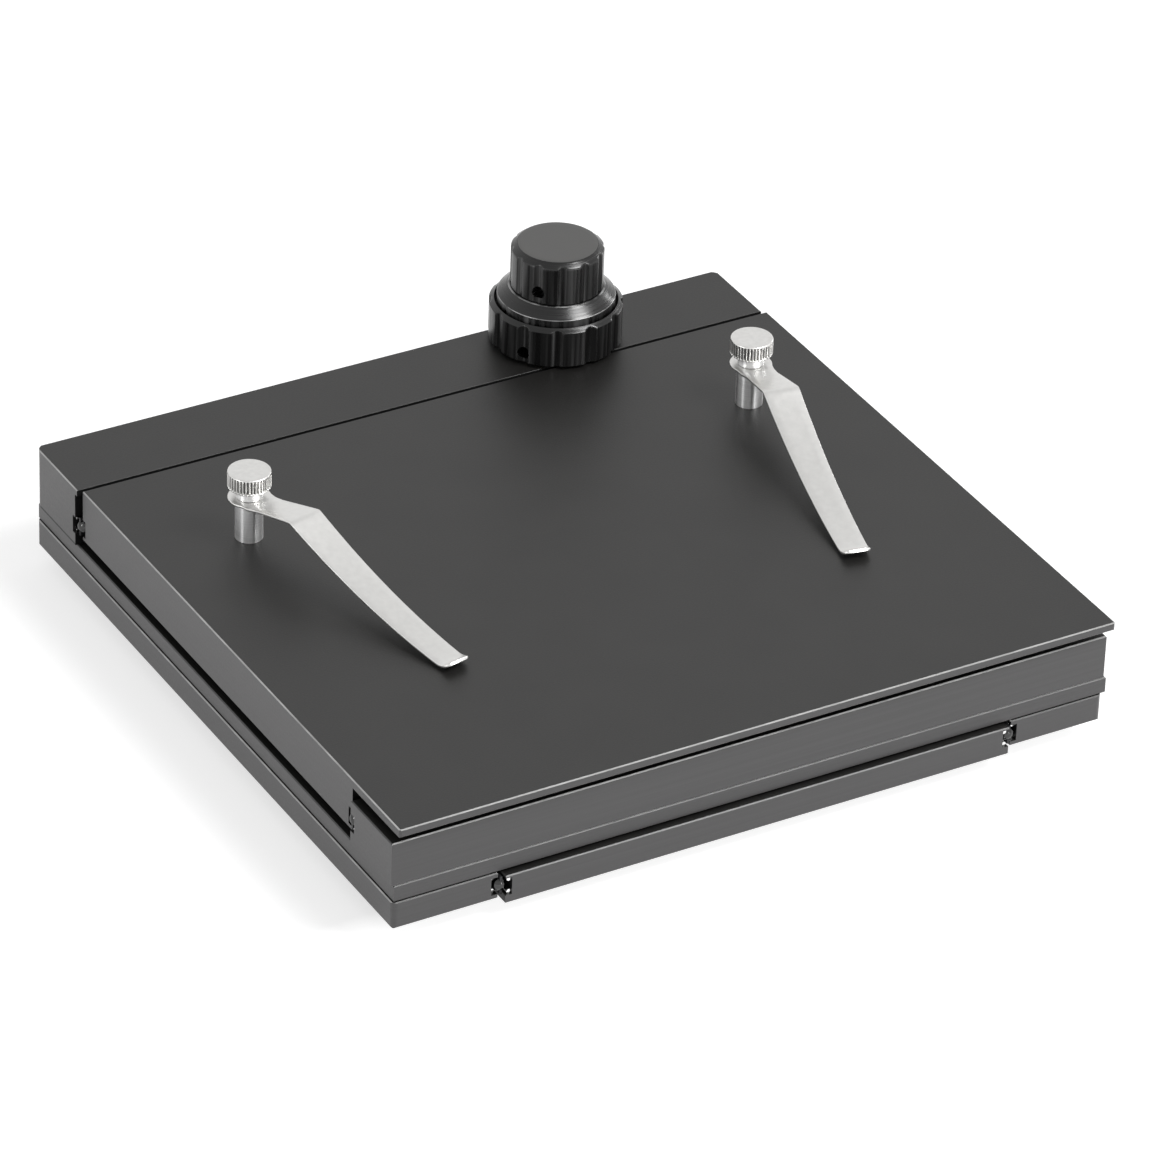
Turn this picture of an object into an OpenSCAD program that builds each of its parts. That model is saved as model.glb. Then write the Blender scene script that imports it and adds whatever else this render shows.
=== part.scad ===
// Two-axis mechanical stage for a stereo microscope.
// A carrier slides front to rear on a fixed base, and the stage slides left to right on the carrier.
// Both run on wire-race ball slides and are moved by two knobs on one vertical axis.
// Millimetres, +X right, +Y to the rear, +Z up. The origin is the middle of the locating disc's underside.

/* [Base] */
// Width of the fixed base block
base_w = 127.5; // [110:0.1:134]
// Distance by which the base stands off to the right of the disc
base_shift = 1; // [0:0.1:2]
// Depth of the base block, front to rear
base_d = 172.5; // [160:0.5:190]
// Height of the base block
base_h = 7.1; // [6.6:0.1:7.2]
// Diameter of the locating disc under the base
disc_d = 94.5; // [60:0.5:110]
// Height of the locating disc
disc_h = 4.2; // [3.5:0.1:10]
// Thread diameter of the screws that hold the locating disc
disc_screw_d = 4; // [3:0.5:4]

/* [Carrier] */
// Width of the front bar and the rear block
carrier_w = 180; // [170:0.1:190]
// Distance by which the front bar, the rear block and the rails stand off to the right
carrier_side = 0.2; // [0:0.1:1]
// Depth of the carrier, front to rear
carrier_d = 172.5; // [165:0.5:190]
// Thickness of the carrier plate
plate_t = 4.1; // [3.6:0.1:6]
// Distance by which the carrier plate stands off to the right
plate_shift = 0.9; // [0:0.1:1]
// Width over both rails
rails_w = 179.5; // [170:0.1:190]
// Height of the rails
rail_h = 6.6; // [6.5:0.1:7]
// Gap between the rails and the surface that the base is mounted on
surface_gap = 1; // [0.9:0.1:1.1]
// Distance by which the carrier stands back from the base's front at rest
carrier_shift = 1.7; // [0:0.1:3]
// Depth of the front bar
bar_d = 18.55; // [14:0.05:24]
// Height of the front bar
bar_h = 11.1; // [10.6:0.1:11.8]
// Depth of the rear block
block_d = 20.45; // [20:0.05:24]
// Overhang of the rear block's thin top lip
block_lip = 1; // [0.4:0.1:1.4]
// Thickness of the rear block's top lip
block_lip_t = 1.55; // [1:0.05:1.8]

/* [Stage] */
// Width of the stage slab
stage_w = 180; // [170:0.1:190]
// Height of the stage slab
stage_h = 13.05; // [12.9:0.05:14]
// Gap between the stage slab and the carrier plate
stage_lift = 2.3; // [1.8:0.1:2.6]
// Distance by which the stage stands off to the right at rest
stage_shift = 1.2; // [-3:0.1:3]
// Thickness of the lip that reaches over the front bar
front_lip_t = 2.05; // [1.6:0.05:2.6]
// Distance by which the front lip stands proud of the front bar
front_lip_over = 1.6; // [0:0.1:3]
// Radius of the slab's plan corners
corner_r = 2.5; // [1:0.1:4]
// Chamfer of the machined edges
edge_c = 0.25; // [0.2:0.05:0.5]

/* [Travel] */
// Travel of the stage to each side of its middle place
travel_side = 37.5; // [20:0.5:40]
// Travel of the carrier to the front from rest
travel_fore = 48; // [30:0.5:50]
// Travel of the carrier to the rear from rest
travel_back = 7; // [0:0.5:7]

/* [Ball slides] */
// Diameter of the balls
ball_d = 3.5; // [3:0.05:3.8]
// Diameter of the race wires
wire_d = 1.1; // [0.8:0.05:1.3]
// Gap between the base block and each rail
base_gap = 1.2; // [1:0.05:1.6]
// Gap between the stage slab and the front bar
front_gap = 1.1; // [1:0.05:1.4]
// Gap between the stage slab and the rear block
cross_gap = 2; // [1.8:0.05:2.2]
// Distance from ball to ball
ball_pitch = 7; // [5:0.5:12]
// Thickness of the cage strips
cage_t = 0.6; // [0.4:0.05:0.7]
// Height of the cage strips
cage_h = 4.6; // [4.3:0.1:5]

/* [Drive] */
// Place of the knobs to the right of the middle
knob_x = 40.7; // [20:0.1:44]
// Distance from the knobs' axis to the carrier's rear face
knob_inset = 9.8; // [9.4:0.1:10.4]
// Tooth module of both racks and pinions
tooth_m = 0.6; // [0.55:0.01:0.64]
// Teeth on the pinion that moves the stage
x_teeth = 20; // [20:1:21]
// Teeth on the pinion that moves the carrier
y_teeth = 16; // [14:1:18]
// Diameter of the inner shaft
inner_d = 6; // [4:0.1:6.4]
// Outer diameter of the hollow shaft
outer_d = 10; // [8.4:0.1:10.2]
// Height of the racks and pinions
rack_h = 3.4; // [3:0.1:3.6]

/* [Knobs] */
// Diameter of the lower knob
lower_knob_d = 31.6; // [28:0.1:36]
// Height of the lower knob
lower_knob_h = 9.9; // [8:0.1:12]
// Gap between the lower knob and the stage's top
knob_gap = 0.8; // [0.8:0.05:2]
// Diameter of the upper knob
upper_knob_d = 21.9; // [18:0.1:25]
// Height of the upper knob
upper_knob_h = 10.8; // [9:0.1:14]
// Diameter of the conical skirt between the knobs
skirt_d = 27.9; // [25.5:0.1:28.2]
// Number of flutes on each knob
flutes = 12; // [6:1:16]

/* [Clips] */
// Distance between the two clip posts
post_span = 130.2; // [80:0.1:150]
// Distance from the posts to the stage slab's rear edge
post_inset = 33.7; // [20:0.1:50]
// Diameter of the clip posts
post_d = 6.4; // [5:0.1:8]
// Height of the clip posts above the stage
post_h = 10.05; // [8:0.05:14]
// Diameter of the thumb screws' heads
thumb_d = 10; // [8:0.1:14]
// Height of the thumb screws' heads
thumb_h = 4; // [3:0.1:6]
// Thickness of the spring leaves
leaf_t = 0.6; // [0.4:0.05:0.8]
// Reach of a leaf from its post to its tip
leaf_reach = 67; // [50:0.5:75]
// Width of a leaf at its bend
leaf_w = 8.7; // [7:0.1:10]
// Width of a leaf at its tip
leaf_tip_w = 6.3; // [4:0.1:8]
// Swivel of the left leaf from straight ahead, towards the middle
left_leaf_angle = 12.5; // [0:0.5:30]
// Swivel of the right leaf from straight ahead, towards the middle
right_leaf_angle = 10.8; // [0:0.5:30]

/* [Hidden] */
$fn = 64;

// Clearances and small details
over = 1;
run_fit = 0.04;
slot_fit = 0.3;
race_fit = 0.03;
seat_fit = 0.05;
hair = 0.02;

// Levels
base_z = disc_h;
base_top_z = base_z + base_h;
rail_z = base_z + surface_gap;
plate_z = rail_z + rail_h;
bar_z = plate_z + plate_t;
bar_top_z = bar_z + bar_h;
stage_z = bar_z + stage_lift;
top_z = stage_z + stage_h;
low_race_z = rail_z + rail_h / 2;
high_race_z = bar_z + bar_h / 2;

// Plan. The disc is under the middle of the slab when the carrier is half way along its travel
slab_rear = carrier_d - block_d - cross_gap;
carrier_y0 = (travel_fore - travel_back) / 2 - (slab_rear - front_lip_over) / 2;
carrier_y1 = carrier_y0 + carrier_d;
base_y0 = carrier_y0 - carrier_shift;
base_y1 = base_y0 + base_d;
bar_y1 = carrier_y0 + bar_d;
block_y0 = carrier_y1 - block_d;
stage_y0 = bar_y1 + front_gap;
stage_y1 = block_y0 - cross_gap;
lip_y0 = carrier_y0 - front_lip_over;
stage_x0 = stage_shift - stage_w / 2;
stage_x1 = stage_shift + stage_w / 2;
base_x0 = base_shift - base_w / 2;
base_x1 = base_shift + base_w / 2;
carrier_x0 = carrier_side - carrier_w / 2;
carrier_x1 = carrier_side + carrier_w / 2;
plate_x0 = plate_shift - carrier_w / 2;
plate_x1 = plate_shift + carrier_w / 2;
rail_x0 = base_w / 2 + base_gap;
rail_x1 = rails_w / 2;
side_race_x = base_w / 2 + base_gap / 2;
front_race_y = bar_y1 + front_gap / 2;
rear_race_y = block_y0 - cross_gap / 2;
rail_r_share = 0.5;
rail_r = corner_r * rail_r_share;
lip_r_share = 0.25;
lip_r = corner_r * lip_r_share;
seam_share = 0.3;
seam_c = edge_c * seam_share;
rail_proud = 0.4;

// Ball slides
ball_r = ball_d / 2;
wire_off = (ball_r + wire_d / 2 + race_fit) / sqrt(2);
race_half = wire_off + wire_d / 2;
wire_back = 0.5;
cage_back = 0.2;
cage_hole_r = ball_r + seat_fit;
cage_margin = 1.3;

// Screws
head_share = 2;
socket_share = 0.55;
socket_depth_share = 0.5;
rail_screw_d = 4;
rail_screw_l = 8;
rail_screw_x = (rail_x0 + rail_x1) / 2;
rail_screw_side = (base_shift + carrier_side) / 2;
rail_screw_shares = [0.16, 0.39, 0.61, 0.84];
bar_screw_d = 4;
bar_screw_l = 10;
bar_screw_shares = [-0.3, -0.12];
knob_screw_by = 13.2;
bar_screw_xs = concat(
    [for (s = bar_screw_shares) carrier_w * s],
    [knob_x - knob_screw_by, knob_x + knob_screw_by]
);
bar_screw_share = 0.42;
block_screw_share = 0.26;
bar_screw_y = carrier_y0 + bar_d * bar_screw_share;
block_screw_y = carrier_y1 - block_d * block_screw_share;
disc_screw_l = 8;
disc_screw_share = 0.4;
disc_screw_r = disc_d * disc_screw_share;
rack_screw_d = 2.5;
stop_d = 5;
stop_thread_d = 3;
stop_shank_l = 3.2;
stop_reach = 2;
x_stop_share = 0.2;
y_stop_shares = [0.25, 0.6];
x_stop_x = -carrier_w * x_stop_share;
x_stop_y = (stage_y0 + stage_y1) / 2;
x_stop_h = stage_lift + stop_reach;
y_stop_x = -base_w * y_stop_shares[0];
y_stop_y = base_y0 + base_d * y_stop_shares[1];
y_stop_h = plate_z - base_top_z + stop_reach;

// Drive
knob_y = carrier_y1 - knob_inset;
pressure_angle = 20;
flank_steps = 5;
x_pitch_r = tooth_m * x_teeth / 2;
y_pitch_r = tooth_m * y_teeth / 2;
tooth_shares = [0.85, 1.2];
tooth_top = tooth_m * tooth_shares[0];
tooth_root = tooth_m * tooth_shares[1];
tooth_fit = 0.06;
rack_weld = 0.2;
rack_spare = 4;
rack_let_in = 7;
rack_cover = 2.45;
x_rack_z = top_z - rack_cover - rack_h;
x_rack_top_z = x_rack_z + rack_h;
x_rack_pitch_y = knob_y - x_pitch_r;
x_rack_y0 = stage_y1 - rack_let_in;
x_reach = travel_side + abs(stage_shift) + rack_spare;
x_rack_screw_y = (x_rack_y0 + stage_y1) / 2;
screw_grip_share = 0.7;
x_rack_screw_l = x_rack_z - stage_z + rack_h * screw_grip_share;
rack_screw_shares = [0.12, 0.5, 0.88];
y_floor = 3;
y_rack_z = base_z + y_floor;
y_rack_top_z = y_rack_z + rack_h - slot_fit;
y_rack_pitch_x = knob_x + y_pitch_r;
y_rack_back = 6.4;
y_rack_x1 = y_rack_pitch_x + y_rack_back;
y_rack_screw_x = (y_rack_pitch_x + tooth_root + y_rack_x1) / 2;
screw_floor = 0.7;
y_rack_screw_l = y_rack_top_z - base_z - screw_floor;
y_channel_r = y_pitch_r + tooth_top + slot_fit;
y_rack_y0 = knob_y - travel_fore - y_channel_r;
y_rack_y1 = base_y1 - edge_c;
pocket_r = x_pitch_r + tooth_top + slot_fit;
pocket_z0 = x_rack_z - slot_fit;
pocket_z1 = x_rack_top_z + slot_fit;
bush_wall = 1.4;
bush_flange_t = 0.5;
bush_flange_w = 1.6;
shaft_bush_r = outer_d / 2 + bush_wall;
plate_bush_r = inner_d / 2 + bush_wall;
outer_shaft_z0 = bar_z + slot_fit;
inner_shaft_z0 = y_rack_z + slot_fit;

// Knobs
lower_knob_z = top_z + knob_gap;
lower_top_z = lower_knob_z + lower_knob_h;
skirt_drop = 2.7;
recess_gap = 0.55;
recess_z = lower_top_z - skirt_drop - slot_fit;
skirt_band = 1.55;
skirt_cone = 2.35;
skirt_top_z = lower_top_z + skirt_band + skirt_cone;
upper_top_z = skirt_top_z + upper_knob_h;
lower_bevel = [1.2, 0.9];
upper_bevel = [1.45, 1.1];
hub_wall = 2.2;
flute_share = 0.17;
flute_sink_share = 0.12;
lower_flute_angle = 2;
upper_flute_angle = 6.8;
set_flute = 7;
set_screw_d = 3;
set_screw_l = 4;
lower_set_up = 2.35;
upper_set_up = 2.8;
lower_set_z = lower_knob_z + lower_set_up;
upper_set_z = skirt_top_z + upper_set_up;

// Clips
post_y = stage_y1 - post_inset;
post_xs = [stage_shift - post_span / 2, stage_shift + post_span / 2];
leaf_angles = [left_leaf_angle, -right_leaf_angle];
stud_d = 4;
stud_l = 6;
stem_d = 3;
stem_l = 8.5;
collar_h = 2.7;
thumb_bevel = 0.4;
knurls = 32;
knurl_share = 0.045;
leaf_z = top_z + post_h + seat_fit;
leaf_head_r = 4.9;
leaf_neck_w = 7.6;
leaf_flat = 4.2;
leaf_neck_at = 7;
leaf_bend_at = 18.4;
leaf_rise = 3.4;
leaf_side = 0.6;
leaf_sag = 1.9;
leaf_clear = 0.6;
curl_r = 5;
curl_angle = 51;
arm_steps = 12;
curl_steps = 6;

// Chamfered rectangle
module bevelled(a0, a1, b0, b1, c) {
    polygon([
        [a0 + c, b0], [a1 - c, b0], [a1, b0 + c], [a1, b1 - c],
        [a1 - c, b1], [a0 + c, b1], [a0, b1 - c], [a0, b0 + c]
    ]);
}

// Outline seen from above, radii in the order front left, front right, rear right, rear left
module plan(lo, hi, radii) {
    corners = [[lo[0], lo[1]], [hi[0], lo[1]], [hi[0], hi[1]], [lo[0], hi[1]]];
    inward = [[1, 1], [-1, 1], [-1, -1], [1, -1]];
    polygon([
        [lo[0], lo[1] + radii[0]], [lo[0] + radii[0], lo[1]],
        [hi[0] - radii[1], lo[1]], [hi[0], lo[1] + radii[1]],
        [hi[0], hi[1] - radii[2]], [hi[0] - radii[2], hi[1]],
        [lo[0] + radii[3], hi[1]], [lo[0], hi[1] - radii[3]]
    ]);
    for (k = [0:3])
        if (radii[k] > 0)
            translate(corners[k] + radii[k] * inward[k])
                circle(r = radii[k]);
}

// Solid with one cross-section in Y and Z, rounded plan corners and chamfered ends
module machined(profile, lo, hi, radii, c = edge_c) {
    intersection() {
        translate([lo[0], 0, 0])
            rotate([90, 0, 90])
                linear_extrude(hi[0] - lo[0])
                    polygon(profile);
        translate([0, 0, lo[2]])
            linear_extrude(hi[2] - lo[2])
                plan(lo, hi, radii);
        translate([0, hi[1], 0])
            rotate([90, 0, 0])
                linear_extrude(hi[1] - lo[1])
                    bevelled(lo[0], hi[0], lo[2], hi[2], c);
    }
}

// Rectangular machined block
module block(lo, hi, radii = [0, 0, 0, 0], c = edge_c) {
    profile = [
        [lo[1] + c, lo[2]], [hi[1] - c, lo[2]], [hi[1], lo[2] + c], [hi[1], hi[2] - c],
        [hi[1] - c, hi[2]], [lo[1] + c, hi[2]], [lo[1], hi[2] - c], [lo[1], lo[2] + c]
    ];
    machined(profile, lo, hi, radii, c);
}

// Plain box between two corners, for cuts
module box(lo, hi) {
    translate(lo)
        cube(hi - lo);
}

// Square groove along Y round a line of balls
module side_groove(x, y0, y1) {
    box(
        [x - race_half, y0 - over, low_race_z - race_half],
        [x + race_half, y1 + over, low_race_z + race_half]
    );
}

// Square groove along X round a line of balls
module cross_groove(y, x0, x1) {
    box(
        [x0 - over, y - race_half, high_race_z - race_half],
        [x1 + over, y + race_half, high_race_z + race_half]
    );
}

// Pair of wires along Y
module side_wires(x, y0, y1) {
    for (up = [-1, 1])
        translate([x, y0, low_race_z + up * wire_off])
            rotate([-90, 0, 0])
                cylinder(d = wire_d, h = y1 - y0);
}

// Pair of wires along X
module cross_wires(y, x0, x1) {
    for (up = [-1, 1])
        translate([x0, y, high_race_z + up * wire_off])
            rotate([0, 90, 0])
                cylinder(d = wire_d, h = x1 - x0);
}

// Countersunk screw, head's top at zero, pointing down
module flat_screw(d, l) {
    head_r = d * head_share / 2;
    rotate_extrude()
        polygon([[0, 0], [head_r, 0], [d / 2, d / 2 - head_r], [d / 2, -l], [0, -l]]);
}

// Hole of a countersunk screw
module flat_hole(d, l) {
    flat_screw(d, l);
    cylinder(d = d * head_share, h = over);
}

// Hexagon socket in a face at zero
module hex_socket(d) {
    translate([0, 0, -d * socket_depth_share])
        cylinder(d = d * socket_share, h = d, $fn = 6);
}

// Stop screw, underside of its head at zero
module stop_screw(head_h, shank_l) {
    difference() {
        union() {
            cylinder(d = stop_d, h = head_h);
            translate([0, 0, -shank_l])
                cylinder(d = stop_thread_d, h = shank_l);
        }
        translate([0, 0, head_h])
            hex_socket(stop_d);
    }
}

// Involute pinion outline with a tooth pointing along +X
module pinion_outline(teeth) {
    pitch_r = tooth_m * teeth / 2;
    tip_r = pitch_r + tooth_top;
    root_r = pitch_r - tooth_root;
    base_r = pitch_r * cos(pressure_angle);
    base_turn = tan(pressure_angle) * 180 / PI - pressure_angle;
    flank_turn = base_turn + 90 / teeth - tooth_fit / pitch_r * 180 / PI;
    tip_roll = sqrt(pow(tip_r / base_r, 2) - 1);
    rolls = [for (k = [0:flank_steps]) tip_roll * k / flank_steps];
    radii = [for (t = rolls) base_r * sqrt(1 + t * t)];
    turns = [for (t = rolls) flank_turn - (t * 180 / PI - atan(t))];
    lower = [for (k = [0:flank_steps]) radii[k] * [cos(turns[k]), -sin(turns[k])]];
    upper = [for (k = [flank_steps:-1:0]) radii[k] * [cos(turns[k]), sin(turns[k])]];
    heel = root_r * [cos(flank_turn), sin(flank_turn)] / 2;
    circle(r = root_r);
    for (k = [0:teeth - 1])
        rotate(k * 360 / teeth)
            polygon(concat([[heel[0], -heel[1]]], lower, upper, [heel]));
}

// Rack outline along +X from x0 to x1, pitch line on the X axis, teeth toward +Y, a space at zero
module rack_outline(x0, x1, back) {
    pitch = PI * tooth_m;
    rise = tan(pressure_angle);
    half = pitch / 4 - tooth_fit;
    first = ceil((x0 + pitch / 2) / pitch);
    last = floor((x1 - pitch / 2) / pitch);
    polygon([[x0, -tooth_root], [x0, -back], [x1, -back], [x1, -tooth_root]]);
    for (k = [first:last - 1])
        translate([(k + 1 / 2) * pitch, 0])
            polygon([
                [-half - tooth_root * rise, -tooth_root - rack_weld],
                [half + tooth_root * rise, -tooth_root - rack_weld],
                [half + tooth_root * rise, -tooth_root], [half - tooth_top * rise, tooth_top],
                [-half + tooth_top * rise, tooth_top], [-half - tooth_root * rise, -tooth_root]
            ]);
}

// Bushing on the drive's axis
module bushing(bore_d, outer_r, z0, z1, flange_t = 0) {
    bore_r = bore_d / 2 + run_fit;
    translate([knob_x, knob_y, z0])
        difference() {
            union() {
                cylinder(r = outer_r, h = z1 - z0);
                if (flange_t > 0)
                    translate([0, 0, z1 - z0])
                        cylinder(r = outer_r + bush_flange_w, h = flange_t);
            }
            translate([0, 0, -over])
                cylinder(r = bore_r, h = z1 - z0 + flange_t + 2 * over);
        }
}

// Knob body between two heights with a chamfered rim and flutes
module fluted(r, z0, z1, bevel, turn) {
    flute_r = r * flute_share;
    difference() {
        translate([knob_x, knob_y, 0])
            rotate_extrude()
                polygon([
                    [0, z0], [r - edge_c, z0], [r, z0 + edge_c], [r, z1 - bevel[1]],
                    [r - bevel[0], z1], [0, z1]
                ]);
        for (k = [0:flutes - 1])
            translate([knob_x, knob_y, z0 - over])
                rotate(turn + k * 360 / flutes)
                    translate([r + flute_r - r * flute_sink_share / 2, 0, 0])
                        cylinder(r = flute_r, h = z1 - z0 + 2 * over);
    }
}

// Radial cylinder from the drive's axis at flute set_flute, between two radii
module radial(turn, z, d, r0, r1) {
    translate([knob_x, knob_y, z])
        rotate(turn + set_flute * 360 / flutes)
            translate([r0, 0, 0])
                rotate([0, 90, 0])
                    cylinder(d = d, h = r1 - r0);
}

// Upright cylinder on the drive's axis
module spindle(d, z0, z1) {
    translate([knob_x, knob_y, z0])
        cylinder(d = d, h = z1 - z0);
}

module locating_disc() {
    color([0.3, 0.31, 0.32])
        difference() {
            cylinder(d = disc_d, h = disc_h);
            disc_screw_places()
                flat_hole(disc_screw_d, disc_screw_l);
        }
}

// Four screws through the disc into the base, heads at the disc's underside
module disc_screw_places() {
    for (k = [0:3])
        rotate(45 + 90 * k)
            translate([disc_screw_r, 0, 0])
                mirror([0, 0, 1])
                    children();
}

module disc_screws() {
    color([0.62, 0.62, 0.63])
        disc_screw_places()
            difference() {
                flat_screw(disc_screw_d, disc_screw_l);
                hex_socket(disc_screw_d);
            }
}

module base_block() {
    color([0.1, 0.1, 0.105])
        difference() {
            block([base_x0, base_y0, base_z], [base_x1, base_y1, base_top_z]);
            for (side = [-1, 1])
                side_groove(base_shift + side * side_race_x, base_y0, base_y1);
            box([knob_x - y_channel_r, y_rack_y0, y_rack_z], [y_rack_x1, base_y1 + over, base_top_z + over]);
            disc_screw_places()
                flat_screw(disc_screw_d, disc_screw_l);
            y_rack_screw_places()
                flat_screw(rack_screw_d, y_rack_screw_l);
            translate([y_stop_x, y_stop_y, base_top_z - stop_shank_l])
                cylinder(d = stop_thread_d, h = stop_shank_l + over);
        }
}

module base_race_wires() {
    color([0.8, 0.8, 0.81])
        for (side = [-1, 1])
            side_wires(
                base_shift + side * (side_race_x - wire_off), base_y0 + wire_back,
                base_y1 - wire_back
            );
}

module y_rack_screw_places() {
    for (s = rack_screw_shares)
        translate([y_rack_screw_x, y_rack_y0 + (base_y1 - y_rack_y0) * s, y_rack_top_z])
            children();
}

// Rack in the base, teeth toward -X
module y_rack() {
    color([0.62, 0.62, 0.63])
        difference() {
            translate([y_rack_pitch_x, knob_y, y_rack_z])
                rotate(90)
                    linear_extrude(y_rack_top_z - y_rack_z)
                        rack_outline(y_rack_y0 - knob_y, y_rack_y1 - knob_y, y_rack_x1 - y_rack_pitch_x);
            y_rack_screw_places()
                flat_hole(rack_screw_d, y_rack_screw_l);
        }
}

module y_rack_screws() {
    color([0.2, 0.2, 0.21])
        y_rack_screw_places()
            difference() {
                flat_screw(rack_screw_d, y_rack_screw_l);
                hex_socket(rack_screw_d);
            }
}

module y_stop_screw() {
    color([0.2, 0.2, 0.21])
        translate([y_stop_x, y_stop_y, base_top_z])
            stop_screw(y_stop_h, stop_shank_l);
}

module carrier_plate() {
    slot_y0 = y_stop_y - travel_back;
    slot_y1 = y_stop_y + travel_fore;
    slot_r = stop_d / 2 + slot_fit / 2;
    color([0.1, 0.1, 0.105])
        difference() {
            block([plate_x0, carrier_y0, plate_z], [plate_x1, carrier_y1, bar_z]);
            for (y = [slot_y0, slot_y1])
                translate([y_stop_x, y, plate_z - over])
                    cylinder(r = slot_r, h = plate_t + 2 * over);
            box(
                [y_stop_x - slot_r, slot_y0, plate_z - over],
                [y_stop_x + slot_r, slot_y1, bar_z + over]
            );
            rail_screw_places()
                flat_hole(rail_screw_d, rail_screw_l);
            bar_screw_places()
                flat_hole(bar_screw_d, bar_screw_l);
            translate([x_stop_x, x_stop_y, bar_z - stop_shank_l])
                cylinder(d = stop_thread_d, h = stop_shank_l + over);
            spindle(2 * plate_bush_r, plate_z - over, bar_z + over);
        }
}

module rail(side) {
    far = carrier_side + side * rail_x1;
    near = base_shift + side * rail_x0;
    corners = side > 0 ? [0, rail_r, rail_r, 0] : [rail_r, 0, 0, rail_r];
    color([0.1, 0.1, 0.105])
        difference() {
            block(
                [min(far, near), carrier_y0 - rail_proud, rail_z],
                [max(far, near), carrier_y1, plate_z], corners
            );
            side_groove(base_shift + side * side_race_x, carrier_y0, carrier_y1);
            rail_screw_places()
                flat_screw(rail_screw_d, rail_screw_l);
        }
}

module left_rail() {
    rail(-1);
}

module right_rail() {
    rail(1);
}

module rail_screw_places() {
    for (side = [-1, 1])
        for (s = rail_screw_shares)
            translate([rail_screw_side + side * rail_screw_x, carrier_y0 + carrier_d * s, bar_z])
                children();
}

module rail_screws() {
    color([0.2, 0.2, 0.21])
        rail_screw_places()
            difference() {
                flat_screw(rail_screw_d, rail_screw_l);
                hex_socket(rail_screw_d);
            }
}

module rail_race_wires() {
    color([0.8, 0.8, 0.81])
        for (side = [-1, 1])
            side_wires(
                base_shift + side * (side_race_x + wire_off), carrier_y0 + wire_back,
                carrier_y1 - wire_back
            );
}

module front_bar() {
    color([0.1, 0.1, 0.105])
        difference() {
            block([carrier_x0, carrier_y0, bar_z], [carrier_x1, bar_y1, bar_top_z]);
            cross_groove(front_race_y, carrier_x0, carrier_x1);
            bar_screw_places()
                flat_screw(bar_screw_d, bar_screw_l);
        }
}

module rear_block() {
    c = edge_c;
    lip_y = block_y0 - block_lip;
    profile = [
        [block_y0 + c, bar_z], [carrier_y1 - c, bar_z], [carrier_y1, bar_z + c], [carrier_y1, top_z - c],
        [carrier_y1 - c, top_z], [lip_y + seam_c, top_z], [lip_y, top_z - seam_c],
        [lip_y, top_z - block_lip_t], [block_y0, top_z - block_lip_t], [block_y0, bar_z + c]
    ];
    color([0.1, 0.1, 0.105])
        difference() {
            machined(
                profile, [carrier_x0, lip_y, bar_z], [carrier_x1, carrier_y1, top_z],
                [0, 0, corner_r, corner_r]
            );
            cross_groove(rear_race_y, carrier_x0, carrier_x1);
            box(
                [knob_x - x_reach - travel_side - stage_shift - slot_fit, lip_y - over, pocket_z0],
                [carrier_x1 + over, x_rack_pitch_y + tooth_top + slot_fit, pocket_z1]
            );
            spindle(2 * pocket_r, pocket_z0, pocket_z1);
            spindle(2 * shaft_bush_r, bar_z - over, top_z + over);
            bar_screw_places()
                flat_screw(bar_screw_d, bar_screw_l);
        }
}

// Screws up through the carrier plate into the front bar and the rear block
module bar_screw_places() {
    for (y = [bar_screw_y, block_screw_y])
        for (x = bar_screw_xs)
            translate([x, y, plate_z])
                mirror([0, 0, 1])
                    children();
}

module bar_screws() {
    color([0.2, 0.2, 0.21])
        bar_screw_places()
            difference() {
                flat_screw(bar_screw_d, bar_screw_l);
                hex_socket(bar_screw_d);
            }
}

module cross_race_wires() {
    color([0.8, 0.8, 0.81]) {
        cross_wires(front_race_y - wire_off, carrier_x0 + wire_back, carrier_x1 - wire_back);
        cross_wires(rear_race_y + wire_off, carrier_x0 + wire_back, carrier_x1 - wire_back);
    }
}

module upper_bushing() {
    color([0.72, 0.58, 0.3])
        bushing(outer_d, shaft_bush_r, pocket_z1, top_z, bush_flange_t);
}

module lower_bushing() {
    color([0.72, 0.58, 0.3])
        bushing(outer_d, shaft_bush_r, bar_z, pocket_z0);
}

module plate_bushing() {
    color([0.72, 0.58, 0.3])
        bushing(inner_d, plate_bush_r, plate_z, bar_z);
}

module x_stop_screw() {
    color([0.2, 0.2, 0.21])
        translate([x_stop_x, x_stop_y, bar_z])
            stop_screw(x_stop_h, stop_shank_l);
}

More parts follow.
